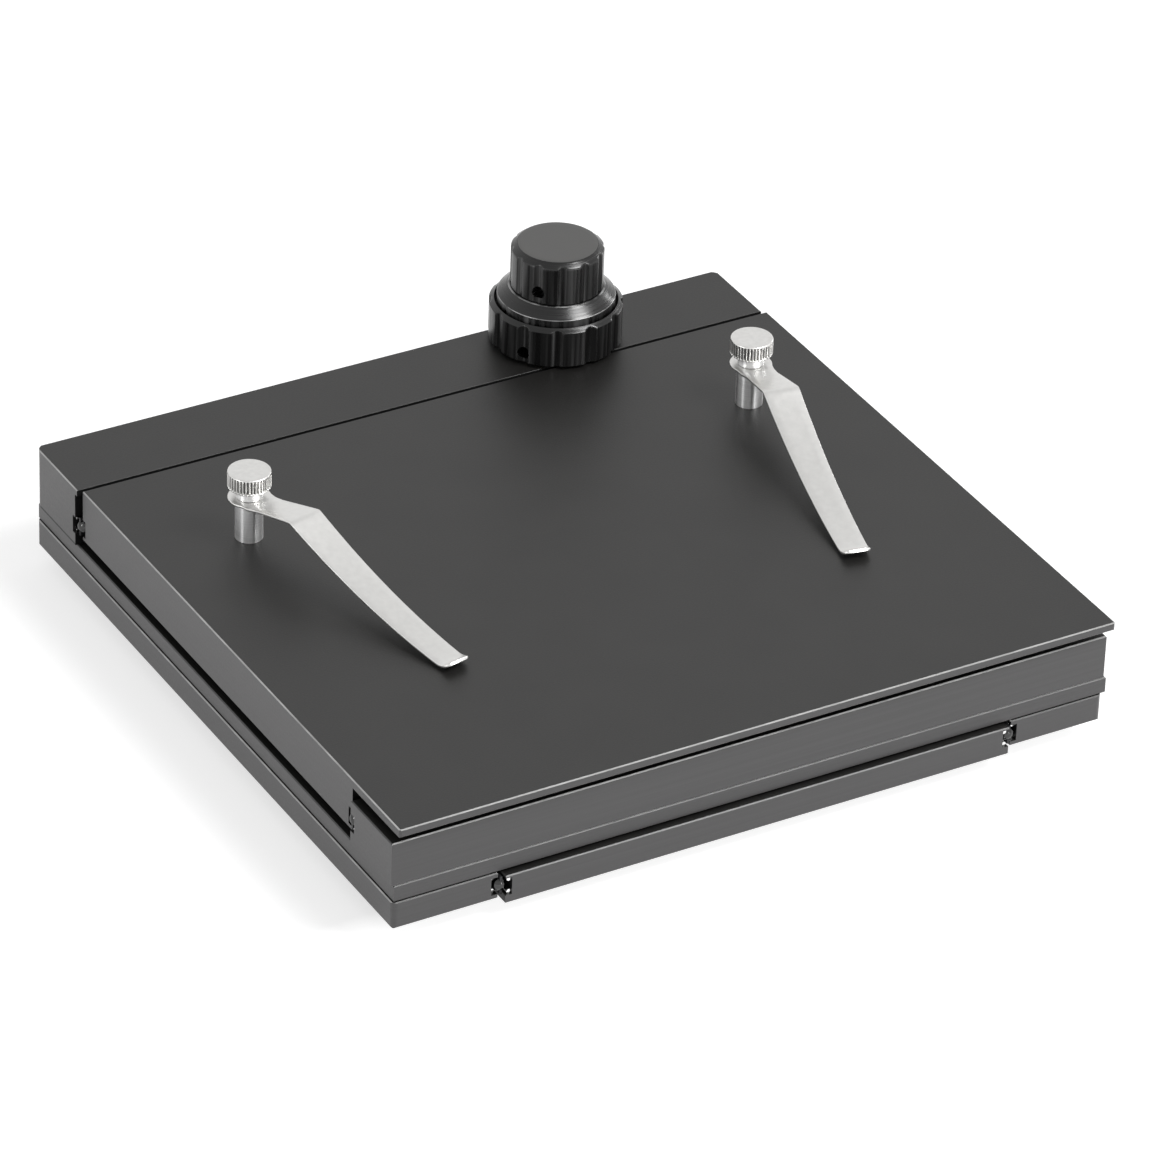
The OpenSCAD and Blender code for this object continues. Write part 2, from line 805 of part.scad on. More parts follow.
module stage_slab() {
    c = edge_c;
    lip_z = top_z - front_lip_t;
    slot_r = stop_d / 2 + slot_fit / 2;
    slot_z1 = bar_z + x_stop_h + slot_fit;
    slot_x0 = x_stop_x - travel_side + stage_shift;
    slot_x1 = x_stop_x + travel_side + stage_shift;
    profile = [
        [stage_y0 + c, stage_z], [stage_y1 - c, stage_z], [stage_y1, stage_z + c], [stage_y1, top_z - seam_c],
        [stage_y1 - seam_c, top_z], [lip_y0 + c, top_z], [lip_y0, top_z - c], [lip_y0, lip_z + c],
        [lip_y0 + c, lip_z], [stage_y0, lip_z], [stage_y0, stage_z + c]
    ];
    color([0.1, 0.1, 0.105])
        difference() {
            machined(
                profile, [stage_x0, lip_y0, stage_z], [stage_x1, stage_y1, top_z],
                [lip_r, lip_r, 0, 0]
            );
            cross_groove(front_race_y, stage_x0, stage_x1);
            cross_groove(rear_race_y, stage_x0, stage_x1);
            box([knob_x - x_reach, x_rack_y0, x_rack_z], [knob_x + x_reach, stage_y1 + over, x_rack_top_z]);
            x_rack_screw_places()
                flat_hole(rack_screw_d, x_rack_screw_l);
            for (x = [slot_x0, slot_x1])
                translate([x, x_stop_y, stage_z - over])
                    cylinder(r = slot_r, h = slot_z1 - stage_z + over);
            box([slot_x0, x_stop_y - slot_r, stage_z - over], [slot_x1, x_stop_y + slot_r, slot_z1]);
            for (x = post_xs)
                translate([x, post_y, top_z - stud_l])
                    cylinder(d = stud_d, h = stud_l + over);
        }
}

module stage_race_wires() {
    color([0.8, 0.8, 0.81]) {
        cross_wires(front_race_y + wire_off, stage_x0 + wire_back, stage_x1 - wire_back);
        cross_wires(rear_race_y - wire_off, stage_x0 + wire_back, stage_x1 - wire_back);
    }
}

// Screws up through the slab into its rack
module x_rack_screw_places() {
    for (s = rack_screw_shares)
        translate([knob_x + x_reach * (2 * s - 1), x_rack_screw_y, stage_z])
            mirror([0, 0, 1])
                children();
}

// Rack on the stage, teeth to the rear
module x_rack() {
    color([0.62, 0.62, 0.63])
        difference() {
            translate([knob_x, x_rack_pitch_y, x_rack_z])
                linear_extrude(rack_h)
                    rack_outline(-x_reach, x_reach, x_rack_pitch_y - x_rack_y0);
            x_rack_screw_places()
                flat_screw(rack_screw_d, x_rack_screw_l);
        }
}

module x_rack_screws() {
    color([0.2, 0.2, 0.21])
        x_rack_screw_places()
            difference() {
                flat_screw(rack_screw_d, x_rack_screw_l);
                hex_socket(rack_screw_d);
            }
}

module post(k) {
    color([0.8, 0.8, 0.81])
        translate([post_xs[k], post_y, top_z])
            difference() {
                union() {
                    rotate_extrude()
                        polygon([
                            [0, 0], [post_d / 2, 0], [post_d / 2, post_h - edge_c],
                            [post_d / 2 - edge_c, post_h], [0, post_h]
                        ]);
                    translate([0, 0, -stud_l])
                        cylinder(d = stud_d, h = stud_l);
                }
                translate([0, 0, post_h - stem_l - slot_fit])
                    cylinder(r = stem_d / 2 + run_fit, h = stem_l + over);
            }
}

module left_post() {
    post(0);
}

module right_post() {
    post(1);
}

// Ball places along a cage of length l, from its middle
function ball_places(l) =
    let (n = floor((l / 2 - cage_margin) / ball_pitch))
    let (step = (l / 2 - cage_margin) / n)
    [for (k = [-n:n]) k * step];

side_cage_y0 = base_y0 + carrier_shift / 2 + cage_back;
side_cage_y1 = base_y1 + carrier_shift / 2 - cage_back;
cross_cage_x = (stage_shift + carrier_side) / 2;
cross_cage_x0 = cross_cage_x - carrier_w / 2 + cage_back;
cross_cage_x1 = cross_cage_x + carrier_w / 2 - cage_back;

module side_cage(x) {
    l = side_cage_y1 - side_cage_y0;
    color([0.2, 0.2, 0.21])
        translate([x, (side_cage_y0 + side_cage_y1) / 2, low_race_z])
            difference() {
                cube([cage_t, l, cage_h], center = true);
                for (y = ball_places(l))
                    translate([-cage_t, y, 0])
                        rotate([0, 90, 0])
                            cylinder(r = cage_hole_r, h = 2 * cage_t);
            }
}

module side_balls(x) {
    color([0.8, 0.8, 0.81])
        for (y = ball_places(side_cage_y1 - side_cage_y0))
            translate([x, (side_cage_y0 + side_cage_y1) / 2 + y, low_race_z])
                sphere(d = ball_d);
}

module cross_cage(y) {
    l = cross_cage_x1 - cross_cage_x0;
    color([0.2, 0.2, 0.21])
        translate([(cross_cage_x0 + cross_cage_x1) / 2, y, high_race_z])
            difference() {
                cube([l, cage_t, cage_h], center = true);
                for (x = ball_places(l))
                    translate([x, cage_t, 0])
                        rotate([90, 0, 0])
                            cylinder(r = cage_hole_r, h = 2 * cage_t);
            }
}

module cross_balls(y) {
    color([0.8, 0.8, 0.81])
        for (x = ball_places(cross_cage_x1 - cross_cage_x0))
            translate([(cross_cage_x0 + cross_cage_x1) / 2 + x, y, high_race_z])
                sphere(d = ball_d);
}

module left_cage() {
    side_cage(base_shift - side_race_x);
}

module left_balls() {
    side_balls(base_shift - side_race_x);
}

module right_cage() {
    side_cage(base_shift + side_race_x);
}

module right_balls() {
    side_balls(base_shift + side_race_x);
}

module front_cage() {
    cross_cage(front_race_y);
}

module front_balls() {
    cross_balls(front_race_y);
}

module rear_cage() {
    cross_cage(rear_race_y);
}

module rear_balls() {
    cross_balls(rear_race_y);
}

module inner_shaft() {
    color([0.62, 0.62, 0.63])
        spindle(inner_d, inner_shaft_z0, upper_top_z - hub_wall);
}

module y_pinion() {
    color([0.62, 0.62, 0.63])
        difference() {
            translate([knob_x, knob_y, y_rack_z + slot_fit])
                linear_extrude(y_rack_top_z - y_rack_z - slot_fit)
                    pinion_outline(y_teeth);
            spindle(inner_d, base_z, plate_z);
        }
}

// Skirt between the knobs, with the upper knob on the inner shaft
module knob_skirt() {
    r = skirt_d / 2;
    z0 = lower_top_z - skirt_drop;
    color([0.1, 0.1, 0.105])
        translate([knob_x, knob_y, 0])
            rotate_extrude()
                polygon([
                    [inner_d / 2, z0], [r, z0], [r, lower_top_z + skirt_band],
                    [upper_knob_d / 2 + edge_c, skirt_top_z], [inner_d / 2, skirt_top_z]
                ]);
}

module upper_knob() {
    color([0.1, 0.1, 0.105])
        difference() {
            fluted(upper_knob_d / 2, skirt_top_z, upper_top_z, upper_bevel, upper_flute_angle);
            spindle(inner_d, skirt_top_z - over, upper_top_z - hub_wall);
            radial(upper_flute_angle, upper_set_z, set_screw_d, 0, upper_knob_d);
        }
}

module upper_set_screw() {
    set_screw(inner_d / 2 + hair, upper_flute_angle, upper_set_z);
}

module outer_shaft() {
    color([0.62, 0.62, 0.63])
        difference() {
            spindle(outer_d, outer_shaft_z0, recess_z);
            spindle(inner_d + 2 * run_fit, bar_z, recess_z + over);
        }
}

module x_pinion() {
    color([0.62, 0.62, 0.63])
        difference() {
            translate([knob_x, knob_y, x_rack_z])
                linear_extrude(rack_h)
                    rotate(-90)
                        pinion_outline(x_teeth);
            spindle(outer_d, bar_z, top_z);
        }
}

module lower_knob() {
    color([0.1, 0.1, 0.105])
        difference() {
            fluted(lower_knob_d / 2, lower_knob_z, lower_top_z, lower_bevel, lower_flute_angle);
            spindle(outer_d, top_z, lower_top_z + over);
            spindle(skirt_d + 2 * recess_gap, recess_z, lower_top_z + over);
            radial(lower_flute_angle, lower_set_z, set_screw_d, 0, lower_knob_d);
        }
}

module lower_set_screw() {
    set_screw(outer_d / 2 + hair, lower_flute_angle, lower_set_z);
}

// Set screw from radius r0 outward
module set_screw(r0, turn, z) {
    color([0.2, 0.2, 0.21])
        difference() {
            radial(turn, z, set_screw_d, r0, r0 + set_screw_l);
            translate([knob_x, knob_y, z])
                rotate(turn + set_flute * 360 / flutes)
                    translate([r0 + set_screw_l, 0, 0])
                        rotate([0, 90, 0])
                            hex_socket(set_screw_d);
        }
}

// Leaf seen from the side: [distance from the post, height] along its underside
arm_start = [leaf_bend_at, leaf_z - top_z + leaf_rise];
arm_end = [leaf_reach, leaf_clear];
arm_slope = (arm_end[1] - arm_start[1] + 4 * leaf_sag) / (arm_end[0] - arm_start[0]);
curl_mid = arm_end + curl_r * [-sin(atan(arm_slope)), cos(atan(arm_slope))];
arm_points = [
    for (k = [0:arm_steps])
        let (t = k / arm_steps)
        arm_start + (arm_end - arm_start) * t - [0, 4 * leaf_sag * t * (1 - t)]
];
curl_points = [
    for (k = [1:curl_steps])
        let (a = atan(arm_slope) - 90 + curl_angle * k / curl_steps)
        curl_mid + curl_r * [cos(a), sin(a)]
];
leaf_points = concat([[-leaf_head_r, leaf_z - top_z], [leaf_flat, leaf_z - top_z]], arm_points, curl_points);
leaf_last = len(leaf_points) - 1;
function along(k) = leaf_points[min(k + 1, leaf_last)] - leaf_points[max(k - 1, 0)];
function upper_point(k) = leaf_points[k] + leaf_t * [-along(k)[1], along(k)[0]] / norm(along(k));
leaf_top_points = [for (k = [leaf_last:-1:0]) upper_point(k)];
leaf_end = curl_points[curl_steps - 1][0];

module leaf(k) {
    color([0.8, 0.8, 0.81])
        translate([post_xs[k], post_y, top_z])
            rotate(leaf_angles[k])
                difference() {
                    intersection() {
                        translate([-leaf_reach / 2, 0, 0])
                            rotate([90, 0, 90])
                                linear_extrude(leaf_reach)
                                    mirror([1, 0])
                                        polygon(concat(leaf_points, leaf_top_points));
                        linear_extrude(leaf_reach) {
                            circle(r = leaf_head_r);
                            polygon([
                                [-leaf_head_r, 0], [-leaf_neck_w / 2, -leaf_neck_at],
                                [leaf_side - leaf_w / 2, -leaf_bend_at],
                                [leaf_side - leaf_tip_w / 2, -leaf_reach],
                                [leaf_side - leaf_tip_w / 2, -leaf_end - over],
                                [leaf_side + leaf_tip_w / 2, -leaf_end - over],
                                [leaf_side + leaf_tip_w / 2, -leaf_reach],
                                [leaf_side + leaf_w / 2, -leaf_bend_at],
                                [leaf_side + leaf_neck_w / 2, -leaf_neck_at], [leaf_head_r, 0]
                            ]);
                        }
                    }
                    cylinder(r = stem_d / 2 + run_fit, h = leaf_reach);
                }
}

module left_leaf() {
    leaf(0);
}

module right_leaf() {
    leaf(1);
}

// Thumb screw: stem, collar and knurled head
module thumb_screw(k) {
    z0 = leaf_t + seat_fit;
    z1 = z0 + collar_h;
    z2 = z1 + thumb_h;
    r = thumb_d / 2;
    color([0.8, 0.8, 0.81])
        translate([post_xs[k], post_y, leaf_z])
            difference() {
                rotate_extrude()
                    polygon([
                        [0, -stem_l], [stem_d / 2, -stem_l], [stem_d / 2, z0], [post_d / 2, z0],
                        [post_d / 2, z1], [r - thumb_bevel, z1], [r, z1 + thumb_bevel],
                        [r, z2 - thumb_bevel], [r - thumb_bevel, z2], [0, z2]
                    ]);
                for (n = [0:knurls - 1])
                    rotate(n * 360 / knurls)
                        translate([r, 0, z1 - over / 2])
                            cylinder(r = r * knurl_share, h = thumb_h + over, $fn = 4);
            }
}

module left_thumb_screw() {
    thumb_screw(0);
}

module right_thumb_screw() {
    thumb_screw(1);
}

locating_disc();
disc_screws();
base_block();
base_race_wires();
y_rack();
y_rack_screws();
y_stop_screw();
carrier_plate();
left_rail();
right_rail();
rail_screws();
rail_race_wires();
front_bar();
rear_block();
bar_screws();
cross_race_wires();
upper_bushing();
lower_bushing();
plate_bushing();
x_stop_screw();
stage_slab();
stage_race_wires();
x_rack();
x_rack_screws();
left_post();
right_post();
left_cage();
left_balls();
right_cage();
right_balls();
front_cage();
front_balls();
rear_cage();
rear_balls();
inner_shaft();
y_pinion();
knob_skirt();
upper_knob();
upper_set_screw();
outer_shaft();
x_pinion();
lower_knob();
lower_set_screw();
left_leaf();
right_leaf();
left_thumb_screw();
right_thumb_screw();
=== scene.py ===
"""Looks of the two-axis mechanical stage: black slabs, fluted knobs, spring clips and a white studio."""

import math

import bpy
import numpy as np
from bpy.props import FloatProperty, FloatVectorProperty, IntProperty, PointerProperty
from mathutils import Matrix, Vector


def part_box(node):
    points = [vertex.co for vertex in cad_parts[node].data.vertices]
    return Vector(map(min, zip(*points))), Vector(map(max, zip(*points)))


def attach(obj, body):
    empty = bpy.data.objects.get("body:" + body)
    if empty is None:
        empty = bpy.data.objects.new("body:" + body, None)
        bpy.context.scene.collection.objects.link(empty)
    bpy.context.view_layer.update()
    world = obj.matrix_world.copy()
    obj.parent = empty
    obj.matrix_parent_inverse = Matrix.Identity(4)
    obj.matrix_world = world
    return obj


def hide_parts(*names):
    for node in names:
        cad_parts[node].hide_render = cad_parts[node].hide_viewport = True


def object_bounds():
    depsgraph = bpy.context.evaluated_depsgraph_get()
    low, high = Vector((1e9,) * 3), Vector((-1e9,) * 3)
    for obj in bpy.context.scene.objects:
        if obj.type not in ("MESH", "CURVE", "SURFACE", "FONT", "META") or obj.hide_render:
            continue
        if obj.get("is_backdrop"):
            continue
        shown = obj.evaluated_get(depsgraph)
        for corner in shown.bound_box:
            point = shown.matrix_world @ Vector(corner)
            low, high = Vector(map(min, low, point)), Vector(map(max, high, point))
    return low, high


bl_info = {
    "name": "Mechanical stage",
    "version": (1, 0, 0),
    "blender": (4, 5, 0),
    "location": "3D View > Sidebar > Mechanical stage",
    "description": "Dresses the packed model of a two-axis mechanical stage and sets up its studio",
    "category": "Object",
}

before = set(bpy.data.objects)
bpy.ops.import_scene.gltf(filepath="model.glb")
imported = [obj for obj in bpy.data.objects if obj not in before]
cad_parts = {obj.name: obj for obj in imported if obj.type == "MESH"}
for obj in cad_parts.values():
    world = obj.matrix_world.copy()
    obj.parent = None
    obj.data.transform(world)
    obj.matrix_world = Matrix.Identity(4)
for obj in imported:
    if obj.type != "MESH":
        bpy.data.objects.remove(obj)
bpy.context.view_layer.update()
MM = 0.001
LONGEST = 100 * MM

# Longest steps between the points of a profile
WIDE = 2.0 * MM
EVEN = 1.0 * MM
CLOSE = 0.6 * MM
FINE = 0.3 * MM

# Breaks at the corners of a profile
TOUCH = 0.1 * MM
LIP = 0.12 * MM
EASE = 0.15 * MM


# Sizes and colours


def length(name, description, default):
    """A length property shown with Blender's length unit."""
    return FloatProperty(
        name=name, description=description, default=default, min=0.0, max=LONGEST,
        subtype="DISTANCE", unit="LENGTH",
    )


def angle(name, description, degrees):
    """An angle property, from its default in degrees."""
    return FloatProperty(name=name, description=description, default=math.radians(degrees), subtype="ANGLE")


def share(name, description, default):
    """A number from nothing to one."""
    return FloatProperty(
        name=name, description=description, default=default, min=0.0, max=1.0, subtype="FACTOR"
    )


def strength(name, description, default):
    """The strength of a light or a glow."""
    return FloatProperty(name=name, description=description, default=default, min=0.0)


def power(name, description, default):
    """The power of a lamp in watts."""
    return FloatProperty(name=name, description=description, default=default, min=0.0, unit="POWER")


def number(name, description, default):
    """A whole number of like shapes round a piece, or the number of one of them."""
    return IntProperty(name=name, description=description, default=default, min=4, max=80)


def colour(name, description, default):
    """A linear colour."""
    return FloatVectorProperty(
        name=name, description=description, default=default, size=3, min=0.0, max=1.0, subtype="COLOR"
    )


class KnobSettings(bpy.types.PropertyGroup):
    """Shape of the two fluted drive knobs and the skirt between them."""

    lower_radius: length("Lower knob", "Radius of the lower knob", 15.8 * MM)
    upper_radius: length("Upper knob", "Radius of the upper knob", 10.95 * MM)
    lower_turn: angle("Lower flutes", "Angle of the lower knob's first flute", 2.0)
    upper_turn: angle("Upper flutes", "Angle of the upper knob's first flute", 6.8)
    flutes: number("Flutes", "Flutes round each knob", 12)
    flute_share: share("Flute radius", "Flute radius as a share of the knob's radius", 0.13)
    sink_share: share("Flute depth", "Depth of a flute as a share of the knob's radius", 0.045)
    rim: length("Rim rounding", "Rounding of the machined rims", 0.25 * MM)
    lower_chamfer: length("Lower chamfer", "Width of the lower knob's chamfer", 1.2 * MM)
    lower_drop: length("Lower chamfer's height", "Height of the lower knob's chamfer", 0.9 * MM)
    upper_chamfer: length("Upper chamfer", "Width of the upper knob's chamfer", 1.4 * MM)
    upper_drop: length("Upper chamfer's height", "Height of the upper knob's chamfer", 1.2 * MM)
    recess_gap: length("Recess gap", "Gap between the skirt and the lower knob's recess", 0.55 * MM)
    cone: length("Cone height", "Height of the skirt's cone", 2.35 * MM)
    cone_top: length("Cone top", "Radius of the skirt's cone at its top", 11.5 * MM)
    skirt_foot: length("Skirt foot", "Rounding of the skirt's foot", 0.2 * MM)
    hole: length("Screw hole", "Diameter of the holes over the set screws", 3.0 * MM)
    hole_flute: number("Hole flute", "Number of the flute that the screw holes are in", 7)
    lower_hole: length("Lower hole", "Height of the screw hole in the lower knob", 2.35 * MM)
    upper_hole: length("Upper hole", "Height of the screw hole in the upper knob", 2.8 * MM)
    lower_floor: length("Lower hole's floor", "Radius at which the lower hole ends", 8.6 * MM)
    upper_floor: length("Upper hole's floor", "Radius at which the upper hole ends", 6.6 * MM)


class ClipSettings(bpy.types.PropertyGroup):
    """Shape of the spring leaves and the thumb screws."""

    left_turn: angle("Left leaf", "Angle of the left leaf from straight forward", 12.5)
    right_turn: angle("Right leaf", "Angle of the right leaf from straight forward", -10.8)
    thickness: length("Leaf thickness", "Thickness of the spring leaf", 0.6 * MM)
    seat: length("Seat height", "Height of the leaf's root above the slab", 10.1 * MM)
    root: length("Root radius", "Radius of the leaf's round root", 4.9 * MM)
    leaf_hole: length("Leaf hole", "Radius of the screw hole in the leaf's root", 1.56 * MM)
    flat: length("Flat", "Distance from the post to the end of the flat root", 4.2 * MM)
    shoulder: length("Shoulder distance", "Distance from the post to the leaf's shoulder", 2.5 * MM)
    neck: length("Neck distance", "Distance from the post to the leaf's neck", 7.0 * MM)
    bend: length("Bend distance", "Distance from the post to the leaf's main bend", 18.4 * MM)
    shoulder_half: length("Shoulder", "Half the leaf's width at its shoulder", 4.3 * MM)
    neck_half: length("Neck", "Half the leaf's width at its neck", 3.8 * MM)
    bend_half: length("Bend", "Half the leaf's width at its main bend", 4.35 * MM)
    tip_half: length("Tip", "Half the leaf's width at its tip", 3.4 * MM)
    lean: length("Lean", "Distance of the arm's middle line from the post's middle", 0.6 * MM)
    rise: length("Rise", "Height of the bend above the root", 3.4 * MM)
    reach: length("Reach", "Distance from the post to the start of the tip's curl", 67.0 * MM)
    sag: length("Sag", "Sag of the arm below a straight line", 1.9 * MM)
    clear: length("Clearance", "Height of the arm's end above the slab", 0.6 * MM)
    curl: length("Curl radius", "Radius of the tip's curl", 5.0 * MM)
    curl_turn: angle("Curl turn", "Angle of the tip's curl", 51.0)
    corner: length("Tip corners", "Radius of the tip's corners", 1.4 * MM)
    knurls: number("Knurls", "Grooves round a thumb screw's head", 40)
    knurl_depth: length("Knurl depth", "Depth of the grooves in a thumb screw's head", 0.3 * MM)
    head: length("Head height", "Height of a thumb screw's head", 4.0 * MM)
    head_break: length("Head rounding", "Rounding of a thumb screw's head and of a post's top", 0.35 * MM)
    collar: length("Collar height", "Height of the collar under a thumb screw's head", 2.7 * MM)
    thread: length("Thread radius", "Radius of a thumb screw's thread", 1.5 * MM)
    bore: length("Post bore", "Radius of the threaded hole in a post", 1.54 * MM)
    bore_depth: length("Post bore's depth", "Depth of the threaded hole in a post", 8.8 * MM)
    spigot: length("Post spigot", "Radius of a post's lower end in the slab", 2.0 * MM)


class FinishSettings(bpy.types.PropertyGroup):
    """Colours of the finishes."""

    flat_black: colour("Anodised faces", "Blasted and anodised upper faces", (0.0072, 0.0069, 0.0064))
    milled_black: colour("Milled sides", "Milled and anodised sides", (0.0545, 0.0533, 0.0543))
    # The rear block's sides: a darker copy of the milled sides, as painted shade.
    block_shade_black: colour("Block sides", "Milled sides of the rear block", (0.048, 0.0468, 0.0475))
    # Painted shade: the dark colour put on faces inside the slots and grooves and along the rear seam.
    slot_shade: colour("Slots", "Faces inside the slots and grooves", (0.008, 0.008, 0.008))
    # These edge colours are painted highlights on the slabs' chamfers; the dull edges' colour is for
    # chamfers that carry no painted highlight.
    front_chamfer_highlight: colour("Front edge highlight", "Front edges of the slab and the rear block", (0.24, 0.24, 0.235))
    side_chamfer_highlight: colour("Side edge highlights", "Side edges of slab, block and rails", (0.36, 0.36, 0.355))
    bar_chamfer_highlight: colour("Bar edge", "Front edge of the bar", (0.46, 0.46, 0.455))
    plate_chamfer_highlight: colour("Plate edge", "Front edge of the carrier plate", (0.095, 0.095, 0.094))
    base_chamfer_highlight: colour("Base edges", "Front edges of the base", (0.13, 0.13, 0.13))
    dull_edge: colour("Dull edges", "Edges without a painted highlight", (0.035, 0.035, 0.035))
    upper_gloss: colour("Upper knob", "Polished black of the upper knob and the skirt", (0.06, 0.06, 0.06))
    # The lower knob's polished black is darker than the upper knob's: painted shade on a copy of the same
    # finish.
    lower_gloss: colour("Lower knob", "Polished black of the lower knob", (0.034, 0.034, 0.034))
    knob_black: colour("Knob ends", "Turned black faces of the knobs and the skirt", (0.002, 0.002, 0.002))
    # A painted highlight: light grey metal on the skirt's rims.
    glint_grey: colour("Knob rims", "Painted highlights on the skirt's rims", (0.2, 0.2, 0.2))
    knob_top: colour("Knob face", "Blasted end face of the upper knob", (0.06, 0.0595, 0.058))
    nickel: colour("Nickel", "Plated leaves and thumb screws", (0.7, 0.695, 0.68))
    chrome: colour("Chrome", "Polished posts and race wires", (0.78, 0.78, 0.78))
    # The balls' steel is painted dark: painted shade for the dark groove the balls reflect.
    ball: colour("Balls", "Steel of the balls, darkened as painted shade", (0.06, 0.06, 0.06))
    # Painted shade at the bottoms of the knurl grooves: a darker nickel.
    knurl: colour("Knurls", "Bottoms of the grooves in the thumb screws' heads", (0.16, 0.158, 0.152))
    steel: colour("Steel", "Ground steel of shafts, racks and pinions", (0.5, 0.5, 0.51))
    brass: colour("Brass", "Bushings and ball cages", (0.62, 0.44, 0.18))
    screw: colour("Screws", "Black oxide of the screws", (0.03, 0.03, 0.032))
    disc: colour("Disc", "Turned face of the locating disc", (0.2, 0.205, 0.21))
    # Reach of the painted shade inside the slots and along the rear seam.
    skin: length("Skin", "Depth from which a face counts as inside a slot", 3.0 * MM)
    seam_shade_reach: length("Seam reach", "Distance beyond the rear seam where edges are dark", 2.5 * MM)
    # Height of the painted shadow line along the rear block's foot, where it overhangs the carrier plate.
    joint: length("Foot shadow line", "Height of the dark line at the rear block's foot", 0.75 * MM)


class StudioSettings(bpy.types.PropertyGroup):
    """Camera, lamps and floor."""

    camera_place: FloatVectorProperty(
        name="Camera", description="Place of the camera", default=(-0.70184, -1.165775, 0.90213), size=3,
        subtype="TRANSLATION", unit="LENGTH",
    )
    lens: FloatProperty(
        name="Lens", description="Focal length in millimetres", default=227.69, min=10.0, unit="CAMERA"
    )
    ambient: strength("Ambient", "Strength of the even light", 0.55)
    ceiling: share("Ceiling", "Brightness of the surroundings overhead, beside white at the sides", 0.7)
    key: power("Key", "Power of the high lamp", 14.0)
    strip: power("Strips", "Power of each low strip", 1.6)
    fill: power("Fill", "Power of the left lamp", 2.7)
    floor_glow: strength("Floor glow", "White added to the floor in the picture", 0.62)
    # Painted light: extra white on the floor in front of the object, over the shadow under its front.
    front_painted_light: strength("Front painted light", "White added to the floor in front", 0.86)
    floor: colour("Floor", "Colour of the floor", (0.5, 0.5, 0.5))


SETTINGS = {
    "stage_knobs": KnobSettings,
    "stage_clips": ClipSettings,
    "stage_finishes": FinishSettings,
    "stage_studio": StudioSettings,
}


# Surfaces


def arc(centre, radius, start, end, steps):
    """Points of an arc: centre + radius * (cos a, sin a), with a from start to end in degrees."""
    a = np.radians(np.linspace(start, end, steps))
    return np.stack([centre[0] + radius * np.cos(a), centre[1] + radius * np.sin(a)], 1)


def dense(points, step):
    """Polyline with extra points, so that no straight piece is longer than step."""
    points = np.asarray(points, float)
    gaps = np.linalg.norm(np.diff(points, axis=0), axis=1)
    counts = np.maximum(1, np.ceil(gaps / step).astype(int))
    parts = [
        points[i] + (points[i + 1] - points[i]) * np.linspace(0, 1, n, endpoint=False)[:, None]
        for i, n in enumerate(counts)
    ]
    return np.concatenate(parts + [points[-1:]])


def turned(profile, angles, looped, shape=None):
    """Surface of revolution: the point (r, z) of the profile at angle a goes to (r cos a, r sin a, z).
    shape may change the grid first. A looped profile closes on itself, any other ends in two poles."""
    m, n = len(profile), len(angles)
    r = np.repeat(profile[:, 0:1], n, 1)
    z = np.repeat(profile[:, 1:2], n, 1)
    a = np.repeat(np.asarray(angles)[None, :], m, 0)
    if shape is not None:
        r, z, a = shape(r, z, a)
    points = np.stack([r * np.cos(a), r * np.sin(a), z], 2)
    if looped:
        return points.reshape(-1, 3), grid_faces(m, n, True)
    inner = points[1:-1].reshape(-1, 3)
    poles = np.array([[0, 0, profile[0, 1]], [0, 0, profile[-1, 1]]])
    faces = grid_faces(m - 2, n, False)
    k = np.arange(n)
    first = np.stack([np.full(n, len(inner)), (k + 1) % n, k], 1)
    last_row = (m - 3) * n
    last = np.stack([np.full(n, len(inner) + 1), last_row + k, last_row + (k + 1) % n], 1)
    return np.concatenate([inner, poles]), faces + first.tolist() + last.tolist()


def grid_faces(rows, columns, looped):
    """Quads of a grid whose rows close on themselves, and whose last row meets its first where looped."""
    i = np.arange(rows if looped else rows - 1)[:, None]
    j = np.arange(columns)[None, :]
    i1, j1 = (i + 1) % rows, (j + 1) % columns
    quads = np.stack(
        [i * columns + j, i * columns + j1, i1 * columns + j1, i1 * columns + j], 2
    )
    return quads.reshape(-1, 4).tolist()


def carried(rings):
    """Surface through equal closed rings carried along a path, with a flat face on each end ring."""
    m, n = rings.shape[:2]
    faces = grid_faces(m, n, False)
    faces.append(list(range(n))[::-1])
    faces.append([(m - 1) * n + k for k in range(n)])
    return rings.reshape(-1, 3), faces


def volume(points, faces):
    """Signed volume from the fan of triangles of every face: sum of a . (b x c) / 6."""
    total = 0.0
    for size in sorted({len(f) for f in faces}):
        corners = points[np.array([f for f in faces if len(f) == size])]
        for k in range(1, size - 1):
            crossed = np.cross(corners[:, k], corners[:, k + 1])
            total += np.einsum("ij,ij->i", corners[:, 0], crossed).sum() / 6
    return total


def put_piece(name, points, faces, body, replaced, finishes, choose=None):
    points = np.asarray(points, float)
    if volume(points, faces) < 0:
        faces = [list(f)[::-1] for f in faces]
    mesh = bpy.data.meshes.new(name)
    mesh.from_pydata(points.tolist(), [], faces)
    mesh.update()
    mesh.polygons.foreach_set("use_smooth", np.ones(len(faces), bool))
    for finish in finishes:
        mesh.materials.append(finish)
    if choose is not None:
        normals = np.zeros(len(faces) * 3)
        centres = np.zeros(len(faces) * 3)
        mesh.polygons.foreach_get("normal", normals)
        mesh.polygons.foreach_get("center", centres)
        index = choose(centres.reshape(-1, 3), normals.reshape(-1, 3)).astype(np.int32)
        mesh.polygons.foreach_set("material_index", index)
    piece = bpy.data.objects.new(name, mesh)
    bpy.context.scene.collection.objects.link(piece)
    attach(piece, body)
    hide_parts(*replaced)
    return piece


def sharpen(piece, degrees=35.0):
    """Keeps edges sharper than an angle sharp in the shading."""
    piece.data.set_sharp_from_angle(angle=math.radians(degrees))


